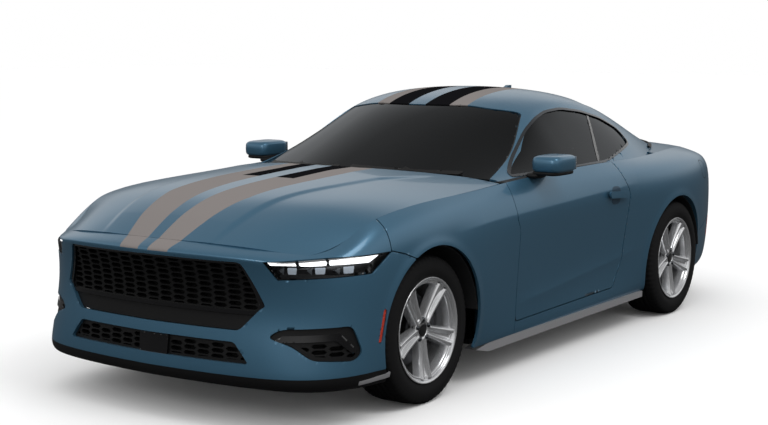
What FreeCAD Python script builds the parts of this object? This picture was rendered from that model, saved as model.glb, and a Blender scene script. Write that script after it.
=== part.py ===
import FreeCAD, Part
import Sketcher
import math
import os
import re

V = FreeCAD.Vector
doc = FreeCAD.newDocument("muscle_car")

# Driving sizes, in millimetres and degrees, one group for each sub-part
SIZES = {
    "whole": dict(
        car_length=4811, body_width=1915, car_height=1397, wheelbase=2720, front_axle_along=1475,
        axle_up=345, front_track=1582, rear_track=1648, skin_wall=30, shut_gap=6, seat_gap=0.3, overrun=60),
    "tyre": dict(
        tyre_radius=345, tyre_width=235, tyre_wide_radius=288, tyre_bead_radius=236, tyre_lip_radius=248,
        tyre_crown_width=196, tyre_wall=14, tyre_bead_width=210),
    "rim": dict(
        rim_radius=246, rim_barrel_radius=222, rim_width=224, rim_barrel_wall=7, bead_shelf_across=78.75,
        bead_inside_across=94.5, drop_well_across=57.75, hub_radius=78, hub_depth=46, hub_face_inset=38,
        cap_depth=14, cap_bore_gap=1),
    "spokes": dict(
        spoke_count=5, spoke_root_width=58, spoke_tip_width=84, spoke_depth=36, spoke_waist_width=50,
        spoke_waist_radius=120, spoke_rise=16, groove_root_width=12, groove_tip_width=34, groove_depth=13,
        groove_start=88, lug_circle_radius=57.15, lug_hole_radius=8, lug_recess_radius=15,
        lug_recess_depth=16),
    "brake": dict(
        disc_radius=176, disc_thickness=30, disc_hat_radius=86, disc_hat_wall=8, disc_face_gap=9,
        disc_from_wheel_middle=6, caliper_wall=22, caliper_inner_radius=118, caliper_outer_radius=205,
        caliper_bridge_radius=184, pad_gap=7, caliper_angle=62, caliper_start_angle=121),
    "upright": dict(
        hub_bearing_radius=44, bearing_inset=15, spindle_radius=22, spindle_gap=0.4, spindle_root=20,
        spindle_nose=10, upright_width=68, upright_depth=62, upright_reach=128, upright_front_gap=30,
        bracket_length=170, bracket_height=80, bracket_depth=40, bracket_front_gap=18),
    "front suspension": dict(
        kingpin_from_middle=715, upper_ear_width=40, lower_ear_width=44, joint_ear_radius=20,
        joint_ear_thickness=18, ball_joint_radius=13, ball_joint_length=44, upper_joint_rise=116,
        lower_joint_drop=160, arm_width=44, arm_thickness=30, arm_eye_radius=23, arm_bore_radius=13.4,
        arm_inner_across=400, arm_spread=150, coil_over_radius=36, coil_over_length=565,
        coil_over_across=520, coil_over_low_up=210, cross_length=150, cross_half_width=410,
        cross_low_up=170, cross_top_up=232, arm_tower_length=120, arm_tower_inner_across=405,
        arm_tower_outer_across=440, arm_tower_top_up=520),
    "rear suspension": dict(
        rear_arm_width=52, rear_arm_inner_across=300, rear_arm_spread=130, rear_arm_end_gap=40,
        differential_length=300, differential_half_width=130, differential_low_up=230,
        differential_top_up=420, rear_cross_length=100, rear_cross_low_up=190, rear_cross_top_up=260,
        rear_post_length=90, rear_post_inner_across=285, rear_post_outer_across=330,
        rear_post_top_up=500, shaft_radius=30, shaft_up=300),
    "front opening": dict(
        mesh_pitch_across=74, mesh_pitch_up=25, mesh_bar=6, mesh_slant=12, mesh_edge=14, grille_sink=15,
        intake_sink=10, corner_view_angle=35, lip_top_up=246),
    "lamps": dict(
        lens_wall=5, housing_depth=34, housing_wall=20, projector_width=52, projector_height=34,
        projector_pitch=118, projector_up=694, day_bar_height=20, day_bar_width=96, day_bar_up=727,
        tail_bar_gap=26),
    "arches": dict(
        front_arch_radius=398, rear_arch_radius=386, arch_cut_inner=330, arch_foot_drop=60, liner_depth=6,
        front_liner_inner_across=600, rear_liner_inner_across=640, liner_outer_across=925,
        liner_cut_reach=500, liner_rise=40),
    "door": dict(
        door_room=180, door_inner_across=800, hinge_behind_edge=58, hinge_across=868, swing_radius=118,
        swing_gap=5.5, relief_low_up=254.254, relief_height=754.38, door_pin_radius=9,
        door_pin_low_up=242, door_pin_length=40, door_bore_low_up=235, door_bore_length=60,
        hinge_post_rear_along=716, hinge_post_front_along=800, hinge_post_outer_across=840,
        hinge_post_top_up=860, hinge_foot_rear_along=640, hinge_foot_inner_across=733,
        hinge_foot_outer_across=762, hinge_foot_low_up=840, hinge_foot_top_up=958,
        hinge_low_rear_along=700, hinge_low_low_up=800),
    "body side": dict(
        glass_thickness=5, pillar_wall=38, glass_skirt_gap=12, sill_low_up=195, sill_inner_across=740,
        rocker_rear_along=-880, rocker_top_up=330, jamb_rear_along=-760, jamb_front_along=-300,
        quarter_overlap=260),
    "rear": dict(
        tail_seam_top_along=-2160, tail_seam_high_along=-2110, tail_seam_high_up=640,
        tail_seam_middle_along=-1990, tail_seam_middle_up=560, tail_seam_low_along=-1640,
        tail_seam_low_up=470, diffuser_top_up=392, diffuser_half_width=640),
    "lids": dict(
        lid_hinge_gap=8, lid_hinge_behind=25, lid_hinge_up=940, lid_front_up=997, lid_hinge_across=450,
        lid_ear_top_up=977, lid_bracket_foot_up=880, lid_bar_low_up=865, lid_bar_top_up=890,
        lid_bar_outer_across=545, hood_hinge_along=870, hood_hinge_up=935, hood_hinge_across=716,
        hood_ear_top_up=970, hood_bracket_foot_up=800, hood_edge_end_along=775, pin_radius=5,
        pin_gap=0.4, pin_boss_wall=3, hinge_plate=8, ear_width=16, ear_radius=15, lid_skin_wall=26),
    "floor": dict(
        floor_up=150, cabin_floor_up=176, cabin_rear_along=-640, heel_wall=26, heel_top_up=400,
        tunnel_width=260, tunnel_top_up=386, tunnel_hollow_rear_along=-1100,
        tunnel_hollow_front_along=920, tunnel_hollow_half_width=108, tunnel_hollow_low_up=100,
        tunnel_hollow_top_up=366),
    "bulkheads": dict(
        firewall_along=820, wall_thickness=28, firewall_half_width=700, firewall_side_up=890,
        firewall_top_up=925, hood_bar_length=50, hood_bar_inner_across=690, hood_bar_outer_across=737,
        hood_bar_low_up=790, hood_bar_top_up=815, nose_wall_half_width=620, nose_wall_low_up=300,
        nose_wall_top_up=700),
    "boot": dict(
        panel_wall=20, boot_rear_along=-2190, boot_front_along=-980, boot_half_width=560,
        boot_floor_up=520, seat_wall_along=-1000, heel_shelf_half_width=640, heel_shelf_top_up=410,
        shelf_rear_along=-1720, shelf_low_up=880, shelf_top_up=895, tail_wall_low_up=420,
        tail_wall_top_up=820),
    "rails": dict(
        rail_front_along=2100, rail_inner_across=330, rail_outer_across=400, rail_low_up=330,
        rail_top_up=450, mount_rear_along=1120, mount_front_along=1220, mount_low_up=380,
        mount_top_up=430, strut_tower_length=180, strut_tower_low_up=400, strut_tower_top_up=820,
        strut_top_outer_across=575),
    "engine": dict(
        engine_rear_along=870, engine_front_along=1480, engine_half_width=290, engine_low_up=250,
        engine_top_up=860),
    "exhaust": dict(
        pipe_radius=30, pipe_start_along=860, pipe_start_across=70, pipe_start_up=240,
        pipe_tunnel_end_along=-700, pipe_tunnel_end_across=70, pipe_tunnel_end_up=240,
        pipe_before_axle_along=-950, pipe_before_axle_across=400, pipe_before_axle_up=315,
        pipe_after_axle_along=-1520, pipe_after_axle_across=420, pipe_after_axle_up=320,
        pipe_before_silencer_along=-1720, pipe_before_silencer_across=480, pipe_before_silencer_up=245,
        pipe_after_silencer_along=-2150, pipe_after_silencer_across=500, pipe_after_silencer_up=215,
        pipe_tip_along=-2310, pipe_tip_across=520, pipe_tip_up=215, silencer_rear_along=-2110,
        silencer_front_along=-1760, silencer_inner_across=360, silencer_outer_across=590,
        silencer_low_up=190, silencer_top_up=330),
    "skirts": dict(
        skirt_rear_along=-850, skirt_front_along=935, skirt_point_along=1050, skirt_rear_low_up=160,
        skirt_front_low_up=150, skirt_point_up=176.7, skirt_inner_across=830, skirt_outer_across=902),
    "mirrors": dict(
        mirror_across_1=868, mirror_along_1=408, mirror_up_1=1026,
        mirror_half_length_1=26, mirror_half_height_1=20,
        mirror_across_2=890, mirror_along_2=404, mirror_up_2=1030,
        mirror_half_length_2=62, mirror_half_height_2=38,
        mirror_across_3=925, mirror_along_3=398, mirror_up_3=1033,
        mirror_half_length_3=76, mirror_half_height_3=48,
        mirror_across_4=975, mirror_along_4=386, mirror_up_4=1037,
        mirror_half_length_4=70, mirror_half_height_4=50,
        mirror_across_5=1015, mirror_along_5=372, mirror_up_5=1036,
        mirror_half_length_5=52, mirror_half_height_5=42,
        mirror_across_6=1036, mirror_along_6=362, mirror_up_6=1032,
        mirror_half_length_6=30, mirror_half_height_6=24,
        mirror_glass_rear_along=200, mirror_glass_along=328, mirror_glass_inner_across=892,
        mirror_glass_outer_across=1016, mirror_glass_low_up=1004, mirror_glass_top_up=1066,
        stalk_rear_along=385, stalk_front_along=470, stalk_top_rear_along=380, stalk_top_front_along=440,
        stalk_low_up=915, stalk_front_up=925, stalk_top_up=1020, stalk_inner_across=862,
        stalk_outer_across=905),
    "roof and cowl": dict(
        fin_front_along=-700, fin_rear_along=-830, fin_top_along=-800, fin_low_up=1351, fin_top_up=1392,
        fin_thickness=24, cowl_rear_along=800, cowl_front_along=990, cowl_half_width=590,
        cowl_top_up=950, wiper_rear_along=885, wiper_front_along=905, wiper_inner_across=60,
        wiper_length=500, wiper_pitch=680, wiper_top_up=962),
    "dashboard": dict(
        dash_half_width=700, dash_low_up=560, dash_top_up=900, dash_top_along=640, dash_crest_up=915,
        dash_face_along=450, dash_face_up=880, dash_rear_along=400, dash_knee_up=800,
        dash_foot_along=540),
    "steering": dict(
        steering_along=190, steering_across=370, steering_up=880, steering_lean=22, steering_radius=178,
        steering_grip_radius=15, steering_hub_radius=45, steering_hub_length=40, bar_thickness=14,
        bar_length=350, bar_height=30, column_radius=32, column_length=240),
    "front seats": dict(
        cushion_rear_along=-420, cushion_front_along=110, cushion_inner_across=140,
        cushion_outer_across=610, cushion_low_up=240, cushion_top_up=400, back_foot_rear_along=-400,
        back_foot_front_along=-270, back_top_front_along=-470, back_top_rear_along=-590,
        back_top_up=1000, back_inner_across=150, back_outer_across=600, head_foot_front_along=-520,
        head_foot_rear_along=-560, head_top_rear_along=-590, head_top_front_along=-500,
        head_top_up=1130, head_inner_across=260, head_outer_across=480, slide_rear_along=-400,
        slide_front_along=90, slide_inner_across=170, slide_outer_across=580),
    "rear seat": dict(
        bench_inner_across=20, bench_front_along=-560, bench_top_up=520, bench_back_foot_along=-800,
        bench_back_top_along=-870, bench_back_top_up=880),
}

sheet = doc.addObject("Spreadsheet::Sheet", "Sizes")
row = 1
for group, cells in SIZES.items():
    sheet.set("A%d" % row, group)
    row += 1
    for alias, number in cells.items():
        sheet.set("A%d" % row, alias)
        sheet.set("B%d" % row, str(number))
        sheet.setAlias("B%d" % row, alias)
        row += 1
doc.recompute()


def mm(alias):
    return float(sheet.get(alias))


LENGTH = mm("car_length")
HALF_LENGTH = LENGTH / 2
HALF_WIDTH = mm("body_width") / 2
HEIGHT = mm("car_height")
FRONT_AXLE = mm("front_axle_along")
REAR_AXLE = FRONT_AXLE - mm("wheelbase")
AXLE_UP = mm("axle_up")
PER_MILLE = 1000
FULL_TURN = 360
QUARTER_TURN = FULL_TURN / 4
REAR = "front_axle_along - wheelbase"
PIECES = []

# Poles of the body side, from the nose round to the tail, as thousandths of the half length,
# the half width and the height. Ten feature lines: lip inside, lip, chin, bar, low, middle,
# high, shoulder, crest and shutline. A single number serves all ten lines.
SIDE_SHARES = [
    ([968, 988, 988, 983, 974, 978, 993, 1000, 990, 968], 0,
     [132, 140, 195, 290, 370, 455, 528, 544, 556, 572]),
    ([964, 984, 984, 979, 970, 974, 989, 996, 986, 963], 300,
     [132, 140, 195, 290, 370, 455, 528, 544, 556, 573]),
    ([948, 968, 970, 963, 955, 958, 970, 975, 965, 940], 590,
     [131, 139, 195, 290, 370, 455, 525, 541, 551, 562]),
    ([924, 946, 942, 930, 922, 924, 930, 930, 921, 903],
     [770, 775, 768, 758, 750, 750, 755, 758, 755, 750],
     [129, 137, 195, 290, 370, 452, 510, 522, 532, 541]),
    ([878, 902, 898, 888, 882, 880, 879, 876, 865, 850],
     [870, 890, 885, 878, 870, 868, 864, 858, 845, 820],
     [127, 136, 195, 290, 370, 450, 504, 520, 534, 552]),
    ([810, 835, 835, 830, 828, 828, 825, 818, 806, 790],
     [935, 955, 956, 952, 948, 945, 938, 922, 900, 860],
     [127, 136, 195, 290, 370, 450, 515, 556, 588, 616]),
    (745, [942, 962, 975, 980, 982, 980, 974, 960, 930, 885],
     [127, 136, 195, 290, 375, 460, 530, 585, 625, 645]),
    (613, [940, 955, 972, 984, 992, 998, 996, 974, 940, 900],
     [127, 136, 195, 290, 380, 475, 545, 610, 650, 670]),
    (437, [935, 950, 968, 982, 990, 990, 980, 956, 930, 905],
     [127, 136, 195, 290, 390, 500, 555, 620, 655, 675]),
    (300, [928, 943, 945, 950, 962, 974, 973, 950, 928, 900],
     [127, 136, 195, 290, 400, 520, 570, 628, 662, 690]),
    (42, [922, 938, 932, 930, 945, 965, 966, 945, 925, 900],
     [130, 138, 195, 290, 400, 530, 575, 630, 668, 703]),
    (-187, [918, 936, 930, 928, 945, 966, 968, 950, 930, 895],
     [133, 141, 195, 290, 400, 535, 580, 635, 670, 705]),
    (-340, [918, 936, 945, 960, 972, 986, 985, 965, 935, 870],
     [136, 145, 195, 290, 400, 530, 580, 640, 675, 697]),
    (-518, [915, 934, 962, 986, 1000, 1008, 1002, 975, 915, 815],
     [140, 150, 200, 300, 410, 520, 585, 650, 682, 700]),
    (-670, [905, 925, 950, 968, 984, 988, 978, 945, 885, 760],
     [150, 160, 210, 310, 420, 530, 595, 650, 686, 704]),
    (-790, [862, 880, 895, 908, 917, 920, 912, 888, 838, 695],
     [165, 175, 225, 320, 425, 535, 600, 648, 676, 698]),
    ([-855, -868, -878, -882, -884, -881, -875, -868, -860, -848],
     [785, 800, 810, 818, 822, 820, 814, 798, 762, 635],
     [180, 190, 235, 325, 430, 535, 596, 640, 666, 690]),
    ([-918, -932, -942, -948, -948, -941, -933, -927, -922, -912],
     [655, 667, 680, 690, 694, 692, 684, 669, 644, 555],
     [190, 200, 240, 330, 430, 535, 598, 638, 661, 682]),
    ([-955, -973, -983, -989, -987, -978, -968, -964, -964, -958], 350,
     [195, 205, 245, 335, 430, 540, 605, 645, 672, 690]),
    ([-961, -979, -990, -997, -995, -985, -975, -971, -972, -966], 0,
     [195, 205, 245, 335, 430, 540, 605, 648, 680, 697]),
]
# How far the inner face goes inwards and down at each feature line, as shares of the wall
SIDE_INWARD_SHARES = [0.6, 1, 1, 1, 1, 1, 1, 0.9, 0.6, 0]
SIDE_DOWN_SHARES = [-0.8, -0.4, 0, 0, 0, 0, 0, 0.3, 0.8, 1]

# Poles of the hood's left half, from its front edge to the cowl, each row from the shutline
# to the middle, as thousandths
HOOD_SHARES = [
    [(903, 750, 541), (930, 620, 558), (950, 520, 568), (963, 280, 573), (968, 0, 572)],
    [(850, 820, 552), (880, 680, 592), (908, 520, 609), (925, 270, 613), (930, 0, 611)],
    [(790, 860, 616), (818, 700, 645), (842, 530, 658), (865, 265, 664), (868, 0, 662)],
    [(745, 885, 645), (755, 720, 672), (775, 520, 688), (790, 260, 694), (792, 0, 694)],
    [(613, 900, 670), (622, 740, 692), (640, 510, 706), (650, 250, 716), (650, 0, 718)],
    [(437, 905, 675), (450, 745, 700), (470, 500, 716), (480, 240, 728), (480, 0, 731)],
    [(300, 900, 690), (340, 740, 708), (385, 500, 722), (400, 230, 737), (402, 0, 740)],
]
# Poles of the cabin's left half from the windscreen's base to the rear window's base, each row
# from the middle to the waist, as thousandths
CABIN_SHARES = [
    [(395, 0, 712), (388, 260, 712), (350, 520, 708), (300, 740, 700),
     (283, 800, 694), (285, 840, 690), (290, 872, 677), (290, 899, 664)],
    [(330, 0, 765), (322, 250, 763), (290, 500, 755), (245, 700, 738),
     (225, 755, 726), (220, 790, 715), (225, 842, 692), (235, 889, 669)],
    [(200, 0, 865), (195, 240, 862), (170, 470, 850), (130, 650, 820),
     (108, 700, 800), (100, 735, 780), (105, 812, 727), (120, 887, 679)],
    [(75, 0, 952), (72, 230, 948), (55, 450, 935), (30, 610, 905),
     (15, 655, 885), (8, 690, 855), (5, 782, 772), (10, 886, 684)],
    [(0, 0, 982), (0, 225, 978), (-5, 440, 964), (-25, 590, 935),
     (-40, 632, 912), (-48, 670, 880), (-50, 772, 782), (-50, 887, 687)],
    [(-90, 0, 1001), (-90, 220, 997), (-92, 435, 983), (-100, 580, 956),
     (-108, 622, 930), (-112, 662, 895), (-112, 767, 787), (-112, 887, 689)],
    [(-190, 0, 1003), (-190, 215, 999), (-190, 430, 985), (-195, 575, 955),
     (-200, 618, 930), (-202, 660, 893), (-202, 767, 787), (-202, 884, 689)],
    [(-310, 0, 980), (-310, 215, 976), (-310, 425, 962), (-312, 565, 930),
     (-315, 610, 903), (-315, 655, 868), (-315, 757, 782), (-315, 869, 689)],
    [(-420, 0, 940), (-420, 210, 936), (-420, 415, 920), (-420, 550, 888),
     (-420, 595, 862), (-420, 645, 832), (-420, 737, 767), (-425, 829, 689)],
    [(-540, 0, 877), (-540, 205, 872), (-540, 400, 858), (-538, 525, 828),
     (-536, 570, 808), (-534, 620, 785), (-530, 692, 742), (-530, 764, 689)],
    [(-640, 0, 812), (-640, 200, 808), (-640, 385, 795), (-638, 500, 772),
     (-635, 545, 758), (-632, 590, 742), (-625, 647, 714), (-620, 694, 684)],
    [(-730, 0, 752), (-730, 195, 749), (-728, 370, 740), (-724, 475, 726),
     (-720, 520, 718), (-716, 560, 710), (-705, 602, 692), (-695, 634, 674)],
    [(-790, 0, 722), (-790, 190, 720), (-788, 360, 713), (-782, 455, 704),
     (-776, 500, 698), (-770, 535, 692), (-760, 562, 677), (-745, 584, 662)],
]
# Poles of the deck's left half from the rear window to the tail, each row from the haunch to
# the middle, as thousandths
DECK_SHARES = [
    [(-518, 815, 700), (-600, 600, 700), (-700, 440, 704), (-735, 220, 712), (-740, 0, 714)],
    [(-670, 760, 704), (-740, 590, 704), (-785, 430, 708), (-800, 215, 712), (-802, 0, 714)],
    [(-790, 695, 698), (-830, 570, 698), (-852, 420, 702), (-865, 210, 706), (-868, 0, 708)],
    [(-848, 635, 690), (-885, 530, 690), (-910, 400, 694), (-925, 205, 698), (-930, 0, 702)],
    [(-912, 555, 682), (-935, 480, 682), (-952, 350, 690), (-964, 175, 694), (-966, 0, 697)],
]


def piece(feature):
    """Marks a feature as one of the car's nodes."""
    PIECES.append(feature)
    return feature


def shaped(name, shape):
    """A free-form or many-cut solid that no sketch or primitive describes."""
    feature = doc.addObject("Part::Feature", name)
    feature.Shape = shape
    return feature


def mirror_of(source, name=None):
    """The same feature on the car's other side."""
    feature = doc.addObject("Part::Mirroring", name or source.Name.replace("left", "right"))
    feature.Source = source
    feature.Normal = V(0, 1, 0)
    return feature


def together(name, features):
    feature = doc.addObject("Part::Compound", name)
    feature.Links = features
    return feature


def fused(name, features):
    feature = doc.addObject("Part::MultiFuse", name)
    feature.Shapes = features
    feature.Refine = True
    return feature


def cut_from(name, base, tool):
    feature = doc.addObject("Part::Cut", name)
    feature.Base = base
    feature.Tool = tool
    return feature


def handed(name, shape):
    """A left node and its mirror image as the right node."""
    left = piece(shaped(name + "_left", shape))
    piece(mirror_of(left))


def paired(name, shapes):
    """One node of left solids and their mirror images."""
    left = [shaped("%s_left_%d" % (name, number), shape) for number, shape in enumerate(shapes, 1)]
    return together(name, left + [mirror_of(one) for one in left])


def sized(rule):
    """A rule in size names, as an expression on the sheet."""
    return re.sub(r"\b[a-z]\w*\b(?!\()", lambda name: "Sizes." + name.group(), rule)


def seat_at(feature, along, across, up):
    for part, rule in zip("xyz", (along, across, up)):
        feature.setExpression(".Placement.Base." + part, sized(rule))


def block(name, low, high):
    """A box between two corners, both given as rules."""
    feature = doc.addObject("Part::Box", name)
    for side, start, end in zip(("Length", "Width", "Height"), low, high):
        feature.setExpression(side, sized("(%s) - (%s)" % (end, start)))
    seat_at(feature, *low)
    return feature


def rod(name, radius, length, start, axis="Z"):
    """A cylinder from a start point along an axis, all given as rules."""
    directions = {"X": V(1, 0, 0), "Y": V(0, 1, 0), "Z": V(0, 0, 1)}
    feature = doc.addObject("Part::Cylinder", name)
    feature.setExpression("Radius", sized(radius))
    feature.setExpression("Height", sized(length))
    feature.Placement = FreeCAD.Placement(V(0, 0, 0), FreeCAD.Rotation(V(0, 0, 1), directions[axis]))
    seat_at(feature, *start)
    return feature


def placed(source, end):
    """The left wheel's part carried to an axle."""
    feature = together("%s_%s_left" % (source.Name, end), [source])
    seat_at(feature, "front_axle_along" if end == "front" else REAR, end + "_track / 2", "axle_up")
    return feature


def opposite(points):
    """The same corners with the first rule of each negated."""
    return [("-(%s)" % across, up) for across, up in points]


def sketched_body(name, points, plane):
    """A body with one closed sketch, each corner bound to the sheet."""
    body = doc.addObject("PartDesign::Body", name)
    sketch = body.newObject("Sketcher::SketchObject", name + "_sketch")
    support = [feature for feature in body.Origin.OriginFeatures if feature.Role == plane]
    sketch.AttachmentSupport = [(support[0], "")]
    sketch.MapMode = "FlatFace"
    corners = []
    for rules in points:
        corners.append(V(*[sheet.evalExpression(sized(rule)) for rule in rules]))
    for start, end in zip(corners, corners[1:] + corners[:1]):
        sketch.addGeometry(Part.LineSegment(start, end))
    for number, rules in enumerate(points):
        before = number - 1 if number else len(points) - 1
        sketch.addConstraint(Sketcher.Constraint("Coincident", before, 2, number, 1))
        for kind, rule, place in zip(("DistanceX", "DistanceY"), rules, corners[number]):
            fixed = sketch.addConstraint(Sketcher.Constraint(kind, -1, 1, number, 1, place))
            sketch.setExpression("Constraints[%d]" % fixed, sized(rule))
    return body, sketch


def turned_body(name, points):
    """A body turned about the car's width from corners across and out."""
    body, sketch = sketched_body(name, points, "YZ_Plane")
    turned_solid = body.newObject("PartDesign::Revolution", name + "_turn")
    turned_solid.Profile = sketch
    turned_solid.ReferenceAxis = (sketch, ["H_Axis"])
    turned_solid.Angle = FULL_TURN
    return body


def extruded_body(name, points, start, end):
    """A body from corners seen from the side, between two rules across the car."""
    body, sketch = sketched_body(name, points, "XZ_Plane")
    sketch.setExpression(".AttachmentOffset.Base.z", sized("-(%s)" % start))
    pad = body.newObject("PartDesign::Pad", name + "_pad")
    pad.Profile = sketch
    pad.Reversed = True
    pad.setExpression("Length", sized("(%s) - (%s)" % (end, start)))
    return body


def sound(feature):
    shape = feature.Shape
    return not shape.isNull() and shape.isValid()


def share_point(along, across, up):
    return V(along * HALF_LENGTH / PER_MILLE, across * HALF_WIDTH / PER_MILLE, up * HEIGHT / PER_MILLE)


def side_net():
    net = []
    for along, across, up in SIDE_SHARES:
        spread = [shares if isinstance(shares, list) else [shares] * len(SIDE_DOWN_SHARES)
                  for shares in (along, across, up)]
        net.append([share_point(*shares) for shares in zip(*spread)])
    return net


def mirror_point(point):
    return V(point.x, -point.y, point.z)


def whole_net(half, middle_first):
    rows = []
    for points in half:
        middle_out = points if middle_first else points[::-1]
        rows.append([mirror_point(p) for p in middle_out[:0:-1]] + list(middle_out))
    return rows


def knots(count, degree):
    spans = count - degree
    inner = [1] * (spans - 1)
    return [degree + 1] + inner + [degree + 1], [i / spans for i in range(spans + 1)]


def surface(net, along_degree=3, across_degree=3):
    along_degree = min(along_degree, len(net) - 1)
    across_degree = min(across_degree, len(net[0]) - 1)
    along_mults, along_knots = knots(len(net), along_degree)
    across_mults, across_knots = knots(len(net[0]), across_degree)
    patch = Part.BSplineSurface()
    patch.buildFromPolesMultsKnots(
        net, along_mults, across_mults, along_knots, across_knots,
        False, False, along_degree, across_degree)
    return patch


def turned(net):
    return [list(points) for points in zip(*net)]


def slab(outer, inner):
    """A solid between two nets with as many poles: two skins and four ruled edges."""
    faces = [surface(outer).toShape(), surface(inner).toShape()]
    for one, other in ((outer, inner), (turned(outer), turned(inner))):
        for end in (0, -1):
            edge = [[a, b] for a, b in zip(one[end], other[end])]
            faces.append(surface(edge, across_degree=1).toShape())
    shell = Part.Shell(faces)
    shell.sewShape()
    solid = Part.Solid(Part.Shell(shell.Faces))
    if solid.Volume < 0:
        solid.reverse()
    return solid


def side_inner(net, wall):
    """The side's poles moved inwards in plan, and down at the crest, by the wall."""
    inner = []
    last = len(net) - 1
    for index, column in enumerate(net):
        before = net[max(index - 1, 0)]
        after = net[min(index + 1, last)]
        moved = []
        for line, pole in enumerate(column):
            run = after[line] - before[line]
            inwards = V(-run.y, run.x, 0)
            inwards.normalize()
            shift = inwards * (wall * SIDE_INWARD_SHARES[line])
            shift.z = -wall * SIDE_DOWN_SHARES[line]
            point = pole + shift
            if index in (0, last):
                point.y = 0
            moved.append(point)
        inner.append(moved)
    return inner


def deep_inner(net, wall):
    """The side's poles moved straight across the car by the wall, at the same height."""
    return [[V(p.x, p.y - wall, p.z) for p in column] for column in net]


def normals(net):
    rows = []
    for i, column in enumerate(net):
        row_normals = []
        for j, pole in enumerate(column):
            along = net[min(i + 1, len(net) - 1)][j] - net[max(i - 1, 0)][j]
            across = column[min(j + 1, len(column) - 1)] - column[max(j - 1, 0)]
            normal = along.cross(across)
            normal.normalize()
            row_normals.append(normal if normal.z < 0 else -normal)
        rows.append(row_normals)
    return rows


def sheet_inner(net, wall):
    """A top skin's poles moved inwards along its own normals by the wall."""
    return [[p + n * wall for p, n in zip(column, ns)] for column, ns in zip(net, normals(net))]


def outline(points, axis):
    """A closed straight-sided face from pairs, in the plane across the given axis."""
    places = {"X": lambda a, b: V(0, a, b), "Y": lambda a, b: V(a, 0, b), "Z": lambda a, b: V(a, b, 0)}
    corners = [places[axis](a, b) for a, b in points]
    return Part.Face(Part.makePolygon(corners + corners[:1]))


def prism(points, axis, low, high):
    direction = {"X": V(1, 0, 0), "Y": V(0, 1, 0), "Z": V(0, 0, 1)}[axis]
    face = outline(points, axis)
    face.translate(direction * low)
    return face.extrude(direction * (high - low))


MITRE_SHARE = 0.2


def grown_points(points, amount):
    """The corners moved outwards, or inwards with a negative amount, on the mitre of their two sides."""
    turns = sum(a * d - b * c for (a, b), (c, d) in zip(points, points[1:] + points[:1]))
    side = amount if turns > 0 else -amount
    moved = []
    for before, here, after in zip(points[-1:] + points[:-1], points, points[1:] + points[:1]):
        runs = []
        for start, end in ((before, here), (here, after)):
            length = math.hypot(end[0] - start[0], end[1] - start[1])
            runs.append(((end[1] - start[1]) / length, (start[0] - end[0]) / length))
        (a, b), (c, d) = runs
        reach = side / max(1 + a * c + b * d, MITRE_SHARE)
        moved.append((here[0] + (a + c) * reach, here[1] + (b + d) * reach))
    return moved


def grown(points, axis, amount):
    return outline(grown_points(points, amount), axis)


def grown_prism(points, axis, low, high, amount):
    direction = {"X": V(1, 0, 0), "Y": V(0, 1, 0), "Z": V(0, 0, 1)}[axis]
    face = grown(points, axis, amount)
    face.translate(direction * low)
    return face.extrude(direction * (high - low))


def box(low, high):
    return Part.makeBox(high[0] - low[0], high[1] - low[1], high[2] - low[2], V(*low))


def mirrored(shape):
    return shape.mirror(V(0, 0, 0), V(0, 1, 0))


def largest(shape):
    return max(shape.Solids, key=lambda solid: solid.Volume)


def shares_list(points):
    return [(along * HALF_LENGTH / PER_MILLE, up * HEIGHT / PER_MILLE) for along, up in points]


def front_list(points):
    return [(across * HALF_WIDTH / PER_MILLE, up * HEIGHT / PER_MILLE) for across, up in points]


WALL = mm("skin_wall")
GAP = mm("shut_gap")
OVER = mm("overrun")
REACH = mm("body_width")

SIDE = side_net()
HOOD = whole_net([[share_point(*p) for p in points] for points in HOOD_SHARES], False)
CABIN = whole_net([[share_point(*p) for p in points] for points in CABIN_SHARES], True)
DECK = whole_net([[share_point(*p) for p in points] for points in DECK_SHARES], False)

side_skin = slab(SIDE, side_inner(SIDE, WALL))
side_thick = slab(SIDE[5:17], deep_inner(SIDE[5:17], mm("door_room")))

# Outlines seen from the side, as thousandths of the half length and the height
SEAM_SHARES = [(752, 541), (716, 525), (682, 502), (560, 300)]
DOOR_SHARES = [(297, 708), (297, 560), (284, 520), (284, 187), (-188, 194), (-224, 294),
               (-238, 485), (-244, 573), (-224, 636), (-200, 708)]


def wheel_arch(axle_along, radius):
    low = mm("arch_cut_inner")
    return Part.makeCylinder(radius, REACH, V(axle_along, low, AXLE_UP), V(0, 1, 0))


front_arch = wheel_arch(FRONT_AXLE, mm("front_arch_radius"))
rear_arch = wheel_arch(REAR_AXLE, mm("rear_arch_radius"))
UNDER_ARCH_SHARE = 0.97
under_reach = mm("front_arch_radius") * UNDER_ARCH_SHARE
under_front = box((FRONT_AXLE - under_reach, mm("arch_cut_inner"), 0),
                  (FRONT_AXLE + under_reach, REACH, AXLE_UP - mm("arch_foot_drop")))
side_surface = surface(SIDE)
shutline = side_surface.vIso(1)

# The front bumper, cut out for the grilles, the lamps and the corner intakes
GRILLE_SHARES = [(0, 530), (528, 527), (622, 388), (600, 384), (500, 312), (0, 312)]
UPPER_MESH_SHARES = [(0, 530), (528, 527), (608, 388), (585, 366), (0, 366)]
LOWER_GRILLE_SHARES = [(0, 277), (480, 277), (560, 212), (0, 207)]
LAMP_SHARES = [(-865, 530), (-800, 474), (-384, 481), (-294, 540), (-407, 538), (-580, 536)]
INTAKE_MESH_SHARES = [(-760, 284), (-500, 284), (-448, 238), (-470, 226), (-640, 236), (-725, 274)]
MARKER_SHARES = [(771, 364), (779, 364), (794, 262), (786, 262)]
INTAKE_SHARES = [(-852, 297), (-790, 323), (-470, 328), (-424, 242), (-458, 218), (-650, 229), (-740, 272)]


def both_sides(points):
    return points + [(-across, up) for across, up in points[::-1] if across]


CORNER_VIEW = mm("corner_view_angle")


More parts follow.
